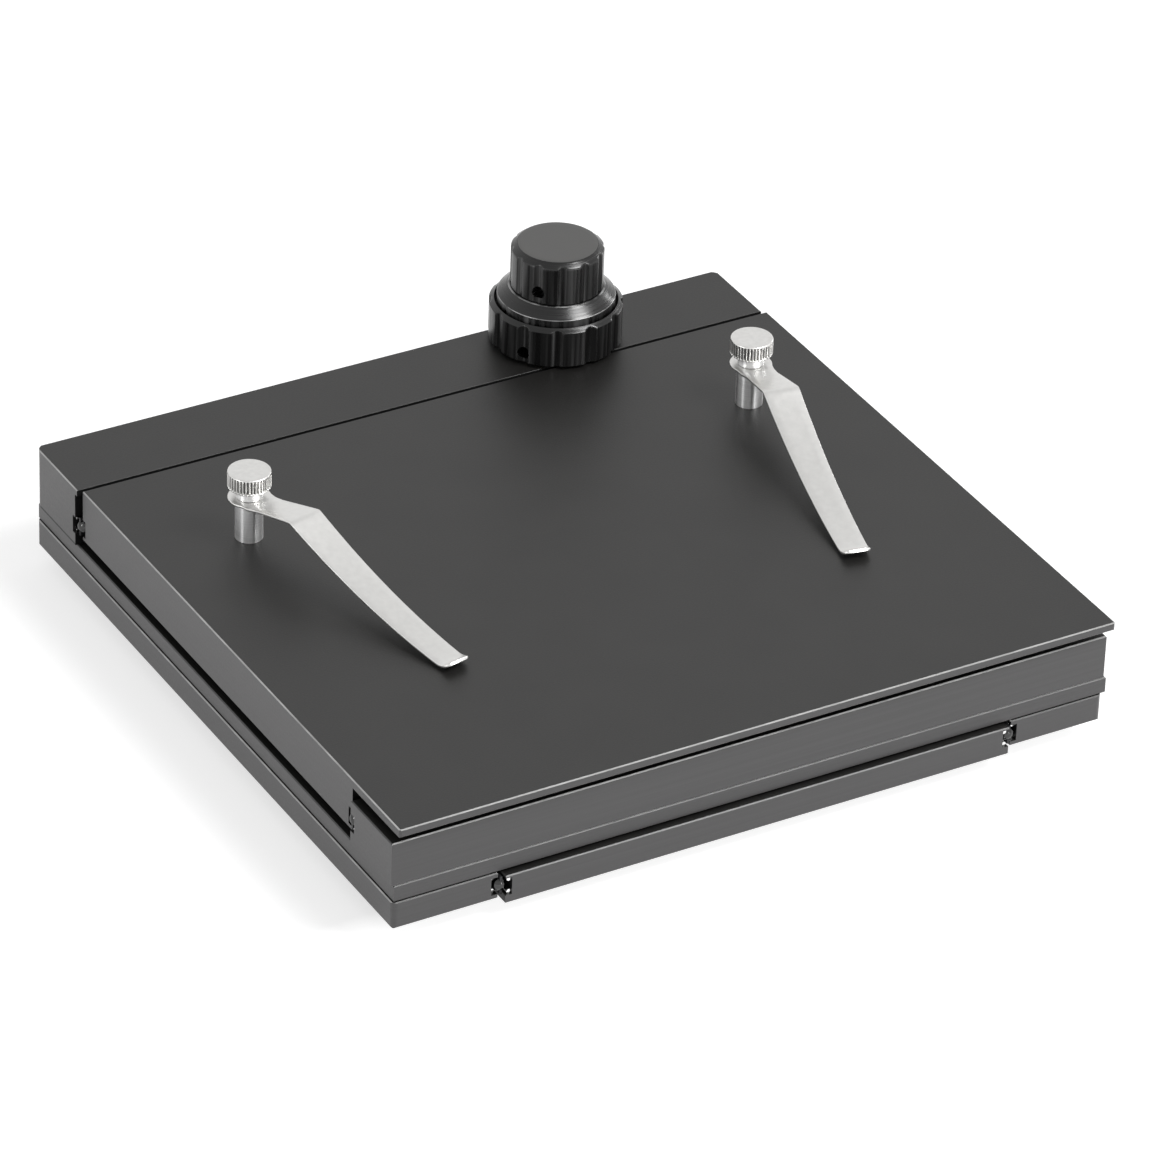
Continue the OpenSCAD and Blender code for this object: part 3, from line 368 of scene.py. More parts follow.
def cut(piece, points, faces):
    """Takes a closed shape out of a piece and keeps the result in its mesh."""
    if volume(np.asarray(points, float), faces) < 0:
        faces = [list(f)[::-1] for f in faces]
    mesh = bpy.data.meshes.new("cutter")
    mesh.from_pydata(np.asarray(points, float).tolist(), [], faces)
    cutter = bpy.data.objects.new("cutter", mesh)
    bpy.context.scene.collection.objects.link(cutter)
    step = piece.modifiers.new("cut", "BOOLEAN")
    step.operation = "DIFFERENCE"
    step.solver = "EXACT"
    step.object = cutter
    bpy.context.view_layer.update()
    result = bpy.data.meshes.new_from_object(piece.evaluated_get(bpy.context.evaluated_depsgraph_get()))
    piece.modifiers.clear()
    old, piece.data = piece.data, result
    result.name = piece.name
    bpy.data.meshes.remove(old)
    bpy.data.objects.remove(cutter)
    bpy.data.meshes.remove(mesh)


# Finishes


def new_material(name):
    """A material, its node tree and its principled shader."""
    material = bpy.data.materials.new(name)
    material.use_nodes = True
    tree = material.node_tree
    return material, tree, tree.nodes["Principled BSDF"]


def add(tree, kind, **values):
    """Adds a node. Names that start with in_ set inputs, the others set attributes."""
    node = tree.nodes.new(kind)
    for key, value in values.items():
        if key.startswith("in_"):
            node.inputs[key[3:].replace("_", " ")].default_value = value
        else:
            setattr(node, key, value)
    return node


def grain(tree, scale, stretch=(1.0, 1.0, 1.0), detail=2.0):
    """Noise on object coordinates, stretched along the axes."""
    place = add(tree, "ShaderNodeTexCoord")
    turn = add(tree, "ShaderNodeMapping")
    turn.inputs["Scale"].default_value = stretch
    noise = add(tree, "ShaderNodeTexNoise", in_Scale=scale, in_Detail=detail)
    tree.links.new(place.outputs["Object"], turn.inputs["Vector"])
    tree.links.new(turn.outputs["Vector"], noise.inputs["Vector"])
    return noise.outputs["Fac"]


def spread(tree, value, low, high, low_in=0.3, high_in=0.7):
    """Maps a noise to a range of numbers."""
    node = add(tree, "ShaderNodeMapRange")
    node.inputs["From Min"].default_value = low_in
    node.inputs["From Max"].default_value = high_in
    node.inputs["To Min"].default_value = low
    node.inputs["To Max"].default_value = high
    tree.links.new(value, node.inputs["Value"])
    return node.outputs["Result"]


def tint(tree, value, base, dark, light):
    """Mixes a colour between a darker and a lighter shade of itself."""
    mix = add(tree, "ShaderNodeMix", data_type="RGBA")
    mix.inputs["A"].default_value = (*[c * dark for c in base], 1.0)
    mix.inputs["B"].default_value = (*[min(1.0, c * light) for c in base], 1.0)
    tree.links.new(value, mix.inputs["Factor"])
    return mix.outputs["Result"]


def raise_grain(tree, shader, value, height, strength=1.0):
    """Bump from a noise, height in metres."""
    bump = add(tree, "ShaderNodeBump", in_Strength=strength, in_Distance=height)
    tree.links.new(value, bump.inputs["Height"])
    tree.links.new(bump.outputs["Normal"], shader.inputs["Normal"])


def maths(tree, operation, *values):
    """Links or sets the inputs of a maths node and gives its output."""
    node = add(tree, "ShaderNodeMath", operation=operation)
    for socket, value in zip(node.inputs, values):
        if isinstance(value, (int, float)):
            socket.default_value = value
        else:
            tree.links.new(value, socket)
    return node.outputs[0]


def both(tree, first, second):
    """One where both masks are one."""
    return maths(tree, "MULTIPLY", first, second)


def between(tree, value, low, high):
    """One where a value lies between two numbers."""
    return maths(tree, "COMPARE", value, (low + high) / 2, (high - low) / 2)


def split(tree, vector):
    """The three parts of a vector."""
    node = add(tree, "ShaderNodeSeparateXYZ")
    tree.links.new(vector, node.inputs["Vector"])
    return [node.outputs[axis] for axis in "XYZ"]


def blend(tree, share_of_second, first, second):
    """Mixes two colours, each an output or a plain colour."""
    node = add(tree, "ShaderNodeMix", data_type="RGBA")
    tree.links.new(share_of_second, node.inputs["Factor"])
    for socket, value in ((node.inputs["A"], first), (node.inputs["B"], second)):
        if isinstance(value, tuple):
            socket.default_value = value
        else:
            tree.links.new(value, socket)
    return node.outputs["Result"]


def slab_finish(name, sizes, front_highlight, side_chamfer_highlight, joint=False):
    """Anodised slab: blasted flat faces, milled sides with fine lines, broken edges with painted highlights,
    and painted shade on the faces inside the slots and along the rear seam, told apart by the direction of
    the surface's own normal and by its place. The last argument is for the rear block, whose sides are
    darker as painted shade, with a painted shadow line where it stands on the carrier plate."""
    material, tree, shader = new_material(name)
    normal = split(tree, add(tree, "ShaderNodeNewGeometry").outputs["True Normal"])
    x, y, z = split(tree, add(tree, "ShaderNodeTexCoord").outputs["Object"])
    nx, ny, nz = [maths(tree, "ABSOLUTE", part) for part in normal]
    square, tilted = 0.8, 0.3
    most = maths(tree, "MAXIMUM", maths(tree, "MAXIMUM", nx, ny), nz)
    is_edge = both(tree, maths(tree, "LESS_THAN", most, square), maths(tree, "GREATER_THAN", nz, tilted))
    is_top = maths(tree, "GREATER_THAN", nz, square)
    faces_y = maths(tree, "GREATER_THAN", ny, nx)
    slab_low, slab_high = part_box("stage_slab")
    block_low, block_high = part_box("rear_block")
    reach, skin = sizes.seam_shade_reach, sizes.skin
    # Painted shade: faces near the rear seam and faces deep inside the slots take the dark slot colour and
    # reflect less.
    seam = between(tree, y, slab_high[1] - reach, block_low[1] + reach)
    inside_y = between(tree, y, slab_low[1] + skin, block_high[1] - skin)
    inside_x = between(tree, x, block_low[0] + skin, slab_high[0] - skin)
    across = both(tree, maths(tree, "GREATER_THAN", ny, square), inside_y)
    along = both(tree, maths(tree, "GREATER_THAN", nx, square), inside_x)
    painted_shade = maths(tree, "MAXIMUM", maths(tree, "MAXIMUM", across, along), both(tree, seam, faces_y))
    # Painted shadow line along the foot of the rear block's side faces.
    if joint:
        foot = maths(tree, "LESS_THAN", z, block_low[2] + sizes.joint)
        painted_shade = maths(tree, "MAXIMUM", painted_shade, both(tree, foot, maths(tree, "GREATER_THAN", nx, 0.5)))
    mottle = grain(tree, scale=60.0, detail=3.0)
    lines = grain(tree, scale=1.0, stretch=(12.0, 12.0, 1900.0))
    speck = grain(tree, scale=2400.0, detail=1.0)
    # Mottle of the painted highlights on the chamfers.
    highlight_mottle = spread(tree, grain(tree, scale=180.0, detail=3.0), 0.0, 1.0)
    # The rear block's sides take the darker copy of the milled black: painted shade.
    milled = sizes.block_shade_black if joint else sizes.milled_black
    top = tint(tree, spread(tree, mottle, 0.0, 1.0), sizes.flat_black, 0.85, 1.15)
    side = tint(tree, spread(tree, lines, 0.0, 1.0), milled, 0.93, 1.07)
    # Chamfer colours are painted highlights, the front ones apart from the side ones.
    edge_highlight = blend(tree, faces_y, *[tint(tree, highlight_mottle, edge, 0.7, 1.2) for edge in (side_chamfer_highlight, front_highlight)])
    faces = blend(tree, is_edge, blend(tree, is_top, side, top), edge_highlight)
    dull = spread(tree, speck, 0.36, 0.42)
    # Less roughness on the tops; the painted shade in the slots takes the slot colour and loses some
    # reflection.
    duller_top, shade_shine_loss = 0.04, 0.3
    tree.links.new(blend(tree, painted_shade, faces, (*sizes.slot_shade, 1.0)), shader.inputs["Base Color"])
    tree.links.new(maths(tree, "MULTIPLY_ADD", is_top, duller_top, dull), shader.inputs["Roughness"])
    tree.links.new(maths(tree, "MULTIPLY_ADD", painted_shade, -shade_shine_loss, 0.5), shader.inputs["Specular IOR Level"])
    raise_grain(tree, shader, speck, height=0.02 * MM, strength=0.8)
    return material


LEAST_ROUGH = 0.02


def plain_metal(
    name, base, roughness, metallic=1.0, scale=1.0, stretch=(1.0, 1.0, 1.0), swing=0.12, height=0.0, spun=0.0
):
    """Metal or anodised finish with grain in its colour, roughness and, where height is set, relief. spun is
    the anisotropy of turning marks round the vertical axis, which draw a reflection out along that axis."""
    material, tree, shader = new_material(name)
    noise = grain(tree, scale, stretch, detail=3.0)
    low, high = 1 - swing, 1 + swing
    tree.links.new(tint(tree, spread(tree, noise, 0.0, 1.0), base, low, high), shader.inputs["Base Color"])
    dull = spread(tree, noise, max(LEAST_ROUGH, roughness * low), roughness * high)
    tree.links.new(dull, shader.inputs["Roughness"])
    shader.inputs["Metallic"].default_value = metallic
    if height:
        raise_grain(tree, shader, noise, height)
    if spun:
        shader.inputs["Anisotropic"].default_value = spun
        shader.inputs["Anisotropic Rotation"].default_value = 0.25
        tangent = add(tree, "ShaderNodeTangent", direction_type="RADIAL", axis="Z")
        tree.links.new(tangent.outputs["Tangent"], shader.inputs["Tangent"])
    return material


# Settings of the painted highlight colours on the front chamfers and on the side chamfers
SLABS = {
    "black_slab": ("front_chamfer_highlight", "side_chamfer_highlight"),
    "black_block": ("front_chamfer_highlight", "side_chamfer_highlight"),
    "black_bar": ("bar_chamfer_highlight", "dull_edge"),
    "black_plate": ("plate_chamfer_highlight", "dull_edge"),
    "black_base": ("base_chamfer_highlight", "dull_edge"),
    "black_rail": ("dull_edge", "side_chamfer_highlight"),
}

# Noise drawn out up a wall, and noise drawn out round an axis
POLISHED = dict(stretch=(900.0, 900.0, 20.0), swing=0.4, spun=0.9)
TURNED = dict(stretch=(150.0, 150.0, 4500.0), swing=0.08, spun=0.9)

# Setting of the colour, roughness, and the grain
METALS = {
    "upper_gloss": ("upper_gloss", 0.3, POLISHED),
    # Darker copy of the polished black for the lower knob: painted shade.
    "lower_gloss": ("lower_gloss", 0.3, POLISHED),
    "black_turned": (
        "knob_black", 0.25, dict(metallic=0.0, stretch=(60.0, 60.0, 3000.0), swing=0.3, height=0.03 * MM)
    ),
    # Painted highlight on the skirt's rims.
    "worn_rim": ("glint_grey", 0.35, dict(scale=300.0, swing=0.8)),
    "knob_face": ("knob_top", 0.5, dict(metallic=0.0, scale=2500.0, height=0.01 * MM)),
    "nickel_leaf": ("nickel", 0.36, dict(scale=700.0, swing=0.03)),
    "nickel_head": ("nickel", 0.36, dict(scale=900.0, swing=0.05)),
    # Darker nickel in the knurl grooves: painted shade.
    "knurl_bottom": ("knurl", 0.4, dict(scale=900.0, swing=0.1)),
    # Dark steel for the balls: painted shade.
    "ball_steel": ("ball", 0.08, dict(scale=300.0, swing=0.05)),
    "chrome": ("chrome", 0.14, dict(scale=300.0, swing=0.05)),
    "turned_steel": ("chrome", 0.34, TURNED),
    "ground_steel": ("steel", 0.35, dict(stretch=(80.0, 80.0, 3000.0))),
    "brass": ("brass", 0.32, dict(scale=500.0)),
    "black_oxide": ("screw", 0.4, dict(metallic=0.6, scale=700.0)),
    "grey_disc": ("disc", 0.4, dict(metallic=0.7, scale=260.0)),
}


def finish(name):
    """A finish by name, made once."""
    if name in bpy.data.materials:
        return bpy.data.materials[name]
    sizes = bpy.context.scene.stage_finishes
    if name in SLABS:
        # Picks the painted highlight colours of the front and the side chamfers.
        front_highlight, side_chamfer_highlight = [getattr(sizes, key) for key in SLABS[name]]
        # The rear block takes the painted shade of its darker sides and of its foot line.
        return slab_finish(name, sizes, front_highlight, side_chamfer_highlight, joint=name == "black_block")
    key, roughness, marks = METALS[name]
    return plain_metal(name, getattr(sizes, key), roughness, **marks)


CAD_FINISHES = {
    "black_slab": ["stage_slab"],
    "black_block": ["rear_block"],
    "black_bar": ["front_bar"],
    "black_plate": ["carrier_plate"],
    "black_base": ["base_block"],
    "black_rail": ["left_rail", "right_rail"],
    "chrome": ["base_race_wires", "rail_race_wires", "cross_race_wires", "stage_race_wires"],
    # The balls take the darkened steel: painted shade.
    "ball_steel": ["left_balls", "right_balls", "front_balls", "rear_balls"],
    "ground_steel": [
        "x_rack", "y_rack", "x_pinion", "y_pinion", "inner_shaft", "outer_shaft",
        "upper_set_screw", "lower_set_screw"
    ],
    "brass": ["upper_bushing", "lower_bushing", "plate_bushing"],
    "black_oxide": [
        "disc_screws", "y_rack_screws", "y_stop_screw", "rail_screws", "bar_screws", "x_stop_screw",
        "x_rack_screws", "left_cage", "right_cage", "front_cage", "rear_cage"
    ],
    "grey_disc": ["locating_disc"],
}


# Knobs

FLUTE_STEPS = 26
HOLE_SPAN = 2.0 * MM
HOLE_STEP = 0.16 * MM
HOLE_SNAP = 0.09 * MM


def box_radius(low, high):
    """Half the width of a box, which is the radius of the round piece in it."""
    return (high[0] - low[0]) / 2


def upright_axis(node):
    """Place of a node's vertical axis: the middle of its box."""
    low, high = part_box(node)
    return (low[0] + high[0]) / 2, (low[1] + high[1]) / 2


def hole_angle(sizes, turn):
    """Angle of the flute that the screw hole is in."""
    return turn + sizes.hole_flute * 2 * math.pi / sizes.flutes


def turned_to(a, middle):
    """Angle from a middle direction, from minus to plus half a turn."""
    return (a - middle + math.pi) % (2 * math.pi) - math.pi


def fluted_shape(radius, sizes, turn, hole_z, floor_r):
    """Sinks flutes and a round hole into a turned grid.
    Near a flute the radius is the soft minimum of the profile's radius and the near side of the flute's
    circle, c cos p - sqrt(q^2 - c^2 sin^2 p), with p the angle from the flute, q the circle's radius and c
    the distance of its centre. Inside the hole the radius is the floor's, and the grid's points nearest to
    the hole's edge move onto it."""
    soft = 0.06 * MM
    wall_share = 0.8

    def shape(r, z, a):
        q = radius * sizes.flute_share
        c = radius * (1 - sizes.sink_share) + q
        pitch = 2 * math.pi / sizes.flutes
        p = (a - turn + pitch / 2) % pitch - pitch / 2
        inside = q * q - (c * np.sin(p)) ** 2
        near = np.where(inside > 0, c * np.cos(p) - np.sqrt(np.maximum(inside, 0)), 1.0)
        low, gap = np.minimum(r, near), np.abs(r - near)
        outer = r > radius * wall_share
        r = np.where(outer, low - soft * np.log1p(np.exp(-gap / soft)), r)
        middle = hole_angle(sizes, turn)
        mouth = c - q
        u, w = mouth * turned_to(a, middle), z - hole_z
        d = np.hypot(u, w) + 1e-12
        edge = sizes.hole / 2
        snap = outer & (np.abs(d - edge) < HOLE_SNAP)
        a = np.where(snap, middle + u / d * edge / mouth, a)
        z = np.where(snap, hole_z + w / d * edge, z)
        r = np.where(outer & ~snap & (d < edge), floor_r, r)
        return r, z, a

    return shape


def knob_angles(sizes, turn, radius):
    """Angles round a knob, closer together near the screw hole."""
    steps = sizes.flutes * FLUTE_STEPS
    even = np.arange(steps) * 2 * math.pi / steps
    span, margin = HOLE_SPAN / radius, 0.004
    middle = hole_angle(sizes, turn)
    fine = (middle + np.arange(-span, span, HOLE_STEP / radius)) % (2 * math.pi)
    away = np.abs(turned_to(even, middle)) > span + margin
    return np.sort(np.concatenate([even[away], fine]))


def wall(radius, z0, z1, hole_z):
    """Points up a knob's wall, closer together near the screw hole."""
    rows = [z0, *np.arange(hole_z - HOLE_SPAN, hole_z + HOLE_SPAN, HOLE_STEP), z1]
    return dense([(radius, z) for z in rows if z0 <= z <= z1], CLOSE)


class STAGE_OT_lower_knob(bpy.types.Operator):
    """Makes the large fluted knob that moves the stage from left to right"""

    bl_idname = "stage.lower_knob"
    bl_label = "Lower knob"

    def execute(self, context):
        sizes = context.scene.stage_knobs
        low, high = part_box("lower_knob")
        x, y = upright_axis("inner_shaft")
        radius, rim, turn = sizes.lower_radius, sizes.rim, sizes.lower_turn
        bore = box_radius(*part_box("outer_shaft"))
        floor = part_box("outer_shaft")[1][2]
        z0, z1 = low[2], high[2]
        hole_z = z0 + sizes.lower_hole
        recess = box_radius(*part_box("knob_skirt")) + sizes.recess_gap
        brow = z1 - sizes.lower_drop
        inner = radius - sizes.lower_chamfer
        profile = np.concatenate([
            dense([(bore, z0), (radius - rim, z0)], WIDE),
            arc((radius - rim, z0 + rim), rim, -80, -10, 4),
            wall(radius, z0 + rim, brow, hole_z),
            dense([(radius - LIP, brow + TOUCH), (inner + TOUCH, z1 - LIP / 2)], FINE),
            arc((recess + LIP, z1 - LIP), LIP, 90, 180, 4),
            dense([(recess, z1 - 3 * TOUCH), (recess, floor + TOUCH)], EVEN),
            dense([(recess - TOUCH, floor), (bore + TOUCH, floor)], WIDE),
            dense([(bore, floor - TOUCH), (bore, z0 + 3 * TOUCH)], WIDE),
        ])
        shape = fluted_shape(radius, sizes, turn, hole_z, sizes.lower_floor)
        points, faces = turned(profile, knob_angles(sizes, turn, radius), True, shape)
        # The lower knob's walls take the darker copy of the polished black: painted shade.
        piece = put_piece(
            "lower_knob_fluted", points + [x, y, 0], faces, "x_drive", ["lower_knob"],
            [finish("lower_gloss"), finish("black_turned")],
            lambda c, n: (np.abs(n[:, 2]) > 0.4).astype(int),
        )
        sharpen(piece)
        return {"FINISHED"}


class STAGE_OT_knob_skirt(bpy.types.Operator):
    """Makes the conical skirt between the two knobs"""

    bl_idname = "stage.knob_skirt"
    bl_label = "Knob skirt"

    def execute(self, context):
        sizes = context.scene.stage_knobs
        low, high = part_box("knob_skirt")
        x, y = upright_axis("inner_shaft")
        r = box_radius(low, high)
        bore = box_radius(*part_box("inner_shaft"))
        z0, z1 = low[2], high[2]
        band = z1 - sizes.cone
        foot, top = sizes.skirt_foot, sizes.cone_top
        # The second number is half the height of the painted highlight band at the cone's foot.
        drop, highlight_band = 0.16 * MM, 0.09 * MM
        profile = np.concatenate([
            dense([(bore, z0), (r - foot, z0)], WIDE),
            arc((r - foot, z0 + foot), foot, -80, 0, 4),
            dense([(r, z0 + 2 * foot), (r, band - EASE)], CLOSE),
            arc((r - EASE, band - EASE), EASE, 0, 45, 3),
            dense([(r - LIP, band + LIP / 2), (top, z1 - drop)], EVEN / 2),
            dense([(top - foot, z1 - EASE / 3), (top - 2 * foot, z1)], FINE),
            dense([(top - 9 * TOUCH, z1), (bore, z1)], WIDE),
            dense([(bore, z1 - EVEN / 2), (bore, z0 + EVEN / 2)], WIDE),
        ])
        points, faces = turned(profile, np.linspace(0, 2 * math.pi, 160, endpoint=False), True)

        # The band at the cone's foot and the rim at its top take a painted highlight; the upright walls take
        # the polished black.
        def choose(c, n):
            rim = (c[:, 2] > z1 - LIP) & (np.hypot(c[:, 0] - x, c[:, 1] - y) > top - 3 * EASE)
            return np.where(np.abs(n[:, 2]) < 0.1, 2, (np.abs(c[:, 2] - band) < highlight_band) | rim)

        piece = put_piece(
            "knob_skirt_turned", points + [x, y, 0], faces, "y_drive", ["knob_skirt"],
            [finish("black_turned"), finish("worn_rim"), finish("upper_gloss")], choose,
        )
        sharpen(piece)
        return {"FINISHED"}


class STAGE_OT_upper_knob(bpy.types.Operator):
    """Makes the small fluted knob that moves the carrier to and fro"""

    bl_idname = "stage.upper_knob"
    bl_label = "Upper knob"

    def execute(self, context):
        sizes = context.scene.stage_knobs
        low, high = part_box("upper_knob")
        x, y = upright_axis("inner_shaft")
        radius, rim, turn = sizes.upper_radius, sizes.rim, sizes.upper_turn
        bore = box_radius(*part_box("inner_shaft"))
        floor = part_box("inner_shaft")[1][2]
        z0, z1 = low[2], high[2]
        hole_z = z0 + sizes.upper_hole
        brow = z1 - sizes.upper_drop
        inner = radius - sizes.upper_chamfer
        profile = np.concatenate([
            [(0, z1)],
            dense([(8 * TOUCH, z1), (inner - EASE, z1)], 2 * CLOSE),
            dense([(inner, z1 - EASE / 3), (radius - TOUCH, brow + EASE)], 0.25 * MM),
            wall(radius, z0 + rim, brow, hole_z)[::-1],
            arc((radius - rim, z0 + rim), rim, -10, -80, 4),
            dense([(radius - rim, z0), (bore, z0)], WIDE),
            dense([(bore, z0 + 3 * TOUCH), (bore, floor)], 1.5 * MM),
            [(0, floor)],
        ])
        shape = fluted_shape(radius, sizes, turn, hole_z, sizes.upper_floor)
        points, faces = turned(profile, knob_angles(sizes, turn, radius), False, shape)
        piece = put_piece(
            "upper_knob_fluted", points + [x, y, 0], faces, "y_drive", ["upper_knob"],
            [finish("upper_gloss"), finish("knob_face"), finish("black_turned")],
            lambda c, n: np.where(c[:, 2] > z1 - 0.02 * MM, 1, np.where(np.abs(n[:, 2]) > 0.3, 2, 0)),
        )
        sharpen(piece)
        return {"FINISHED"}


# Clips

SIDES = ("left", "right")


def knurled_shape(count, depth, low, high, radius):
    """Sinks V grooves into a turned grid: r - depth * (1.35 - 2 |2 t - 1|), with t the place within one
    groove and the bracket kept between nothing and one."""

    def shape(r, z, a):
        t = (a * count / (2 * math.pi)) % 1.0
        groove = depth * np.clip(1.35 - 2 * np.abs(2 * t - 1), 0, 1)
        inside = (z > low) & (z < high) & (r > radius * 0.9)
        return np.where(inside, r - groove, r), z, a

    return shape


class STAGE_OT_thumb_screws(bpy.types.Operator):
    """Makes the knurled thumb screws that hold the clips"""

    bl_idname = "stage.thumb_screws"
    bl_label = "Thumb screws"

    def execute(self, context):
        sizes = context.scene.stage_clips
        for side in SIDES:
            low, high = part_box(side + "_thumb_screw")
            x, y = upright_axis(side + "_post")
            r = box_radius(low, high)
            neck = box_radius(*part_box(side + "_post"))
            thread, rim = sizes.thread, sizes.head_break
            z0, z1 = low[2], high[2]
            head = z1 - sizes.head
            collar = head - sizes.collar
            step = 0.35 * MM
            profile = np.concatenate([
                [(0, z1)],
                dense([(CLOSE, z1), (r - 5 * TOUCH, z1)], 1.5 * CLOSE),
                arc((r - rim, z1 - FINE), FINE, 80, 10, 5),
                dense([(r, z1 - 5 * TOUCH), (r, head + 5 * TOUCH)], step),
                arc((r - rim, head + rim), rim, -10, -80, 4),
                dense([(r - 4 * TOUCH, head), (neck, head)], EVEN),
                dense([(neck - TOUCH / 2, head - TOUCH), (neck - TOUCH / 2, collar + 2 * TOUCH)], 2 * step),
                dense([(neck - 2 * TOUCH, collar), (thread, collar)], CLOSE),
                dense([(thread, collar - 3 * TOUCH), (thread, z0 + 2 * TOUCH)], 2 * CLOSE),
                [(thread - 3 * TOUCH, z0), (0, z0)],
            ])
            shape = knurled_shape(sizes.knurls, sizes.knurl_depth, head + 3 * TOUCH, z1 - rim, r)
            angles = np.linspace(0, 2 * math.pi, sizes.knurls * 10, endpoint=False)
            points, faces = turned(profile, angles, False, shape)

            # Faces sunk in the knurl grooves take the darker nickel as painted shade; the neck below the
            # head is turned steel.
            def choose(c, n):
                shaded_valley = np.hypot(c[:, 0] - x, c[:, 1] - y) < r - 0.17 * MM
                return np.where(c[:, 2] < head - TOUCH / 2, 2, shaded_valley & (np.abs(n[:, 2]) < 0.3))

            piece = put_piece(
                side + "_thumb_screw_knurled", points + [x, y, 0], faces, side + "_thumb",
                [side + "_thumb_screw"],
                [finish("nickel_head"), finish("knurl_bottom"), finish("turned_steel")], choose,
            )
            sharpen(piece, 25.0)
        return {"FINISHED"}


class STAGE_OT_posts(bpy.types.Operator):
    """Makes the polished posts that carry the clips"""

    bl_idname = "stage.posts"
    bl_label = "Clip posts"

    def execute(self, context):
        sizes = context.scene.stage_clips
        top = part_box("stage_slab")[1][2]
        for side in SIDES:
            low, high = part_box(side + "_post")
            x, y = upright_axis(side + "_post")
            r, rim, bore, spigot = box_radius(low, high), sizes.head_break, sizes.bore, sizes.spigot
            z1 = high[2]
            floor = z1 - sizes.bore_depth
            profile = np.concatenate([
                [(0, floor), (1.3 * MM, floor)],
                dense([(bore, floor + 3 * TOUCH), (bore, z1 - TOUCH)], 2 * CLOSE),
                dense([(bore + 0.16 * MM, z1), (r - 4 * TOUCH, z1)], CLOSE),
                arc((r - rim, z1 - rim), rim, 80, 10, 5),
                dense([(r, z1 - 5 * TOUCH), (r, top + TOUCH / 2)], CLOSE),
                [(r - TOUCH / 2, top)],
                dense([(spigot, top), (spigot, low[2] + 2 * TOUCH)], 1.5 * MM),
                [(spigot - 2 * TOUCH, low[2]), (0, low[2])],
            ])
            points, faces = turned(profile, np.linspace(0, 2 * math.pi, 96, endpoint=False), False)
            piece = put_piece(
                side + "_post_turned", points + [x, y, 0], faces, "stage", [side + "_post"],
                [finish("turned_steel")]
            )
            sharpen(piece)
        return {"FINISHED"}


def leaf_path(sizes):
    """Side view of a leaf's underside: flat root, rise to the bend, sagging arm, and an arc that curls up,
    rounded at the bends by a running mean along the path."""
    reach, bend, rise, sag, seat = sizes.reach, sizes.bend, sizes.rise, sizes.sag, sizes.seat
    t = np.linspace(0, 1, 60)
    start, end = np.array([bend, seat + rise]), np.array([reach, sizes.clear])
    arm = start + (end - start) * t[:, None] - np.stack([0 * t, 4 * sag * t * (1 - t)], 1)
    slope = math.atan2(end[1] - start[1] + 4 * sag, end[0] - start[0])
    middle = end + sizes.curl * np.array([-math.sin(slope), math.cos(slope)])
    first = math.degrees(slope) - 90
    curl = arc(middle, sizes.curl, first, first + math.degrees(sizes.curl_turn), 12)[1:]
    path = dense(np.concatenate([[(-sizes.root, seat), (sizes.flat, seat)], arm, curl]), FINE)
    steps = np.concatenate([[0], np.cumsum(np.linalg.norm(np.diff(path, axis=0), axis=1))])
    even = np.linspace(0, steps[-1], 400)
    path = np.stack([np.interp(even, steps, path[:, k]) for k in (0, 1)], 1)
    kernel = np.hanning(7)
    kernel /= kernel.sum()
    padded = np.pad(path, ((3, 3), (0, 0)), mode="reflect", reflect_type="odd")
    return np.stack([np.convolve(padded[:, k], kernel, "valid") for k in (0, 1)], 1)


def leaf_outline(v, sizes, end):
    """Middle and half width of a leaf at distance v from its post: the root's circle, a shoulder, the neck,
    the widest place at the bend, a straight taper, and round corners at the tip."""
    root = np.sqrt(np.maximum(sizes.root**2 - v**2, 0))
    places = [0, sizes.shoulder, sizes.neck, sizes.bend, sizes.reach]
    halves = [sizes.root, sizes.shoulder_half, sizes.neck_half, sizes.bend_half, sizes.tip_half]
    middle = np.interp(v, [0, sizes.neck, sizes.bend], [0, sizes.lean / 2, sizes.lean])
    round_end = 3.0 * MM
    half = np.where(v < 0, root, np.maximum(np.interp(v, places, halves), root * (v < round_end)))
    near = np.clip(sizes.corner - (end - v), 0, sizes.corner)
    half = half - (sizes.corner - np.sqrt(sizes.corner**2 - near**2))
    return middle, half


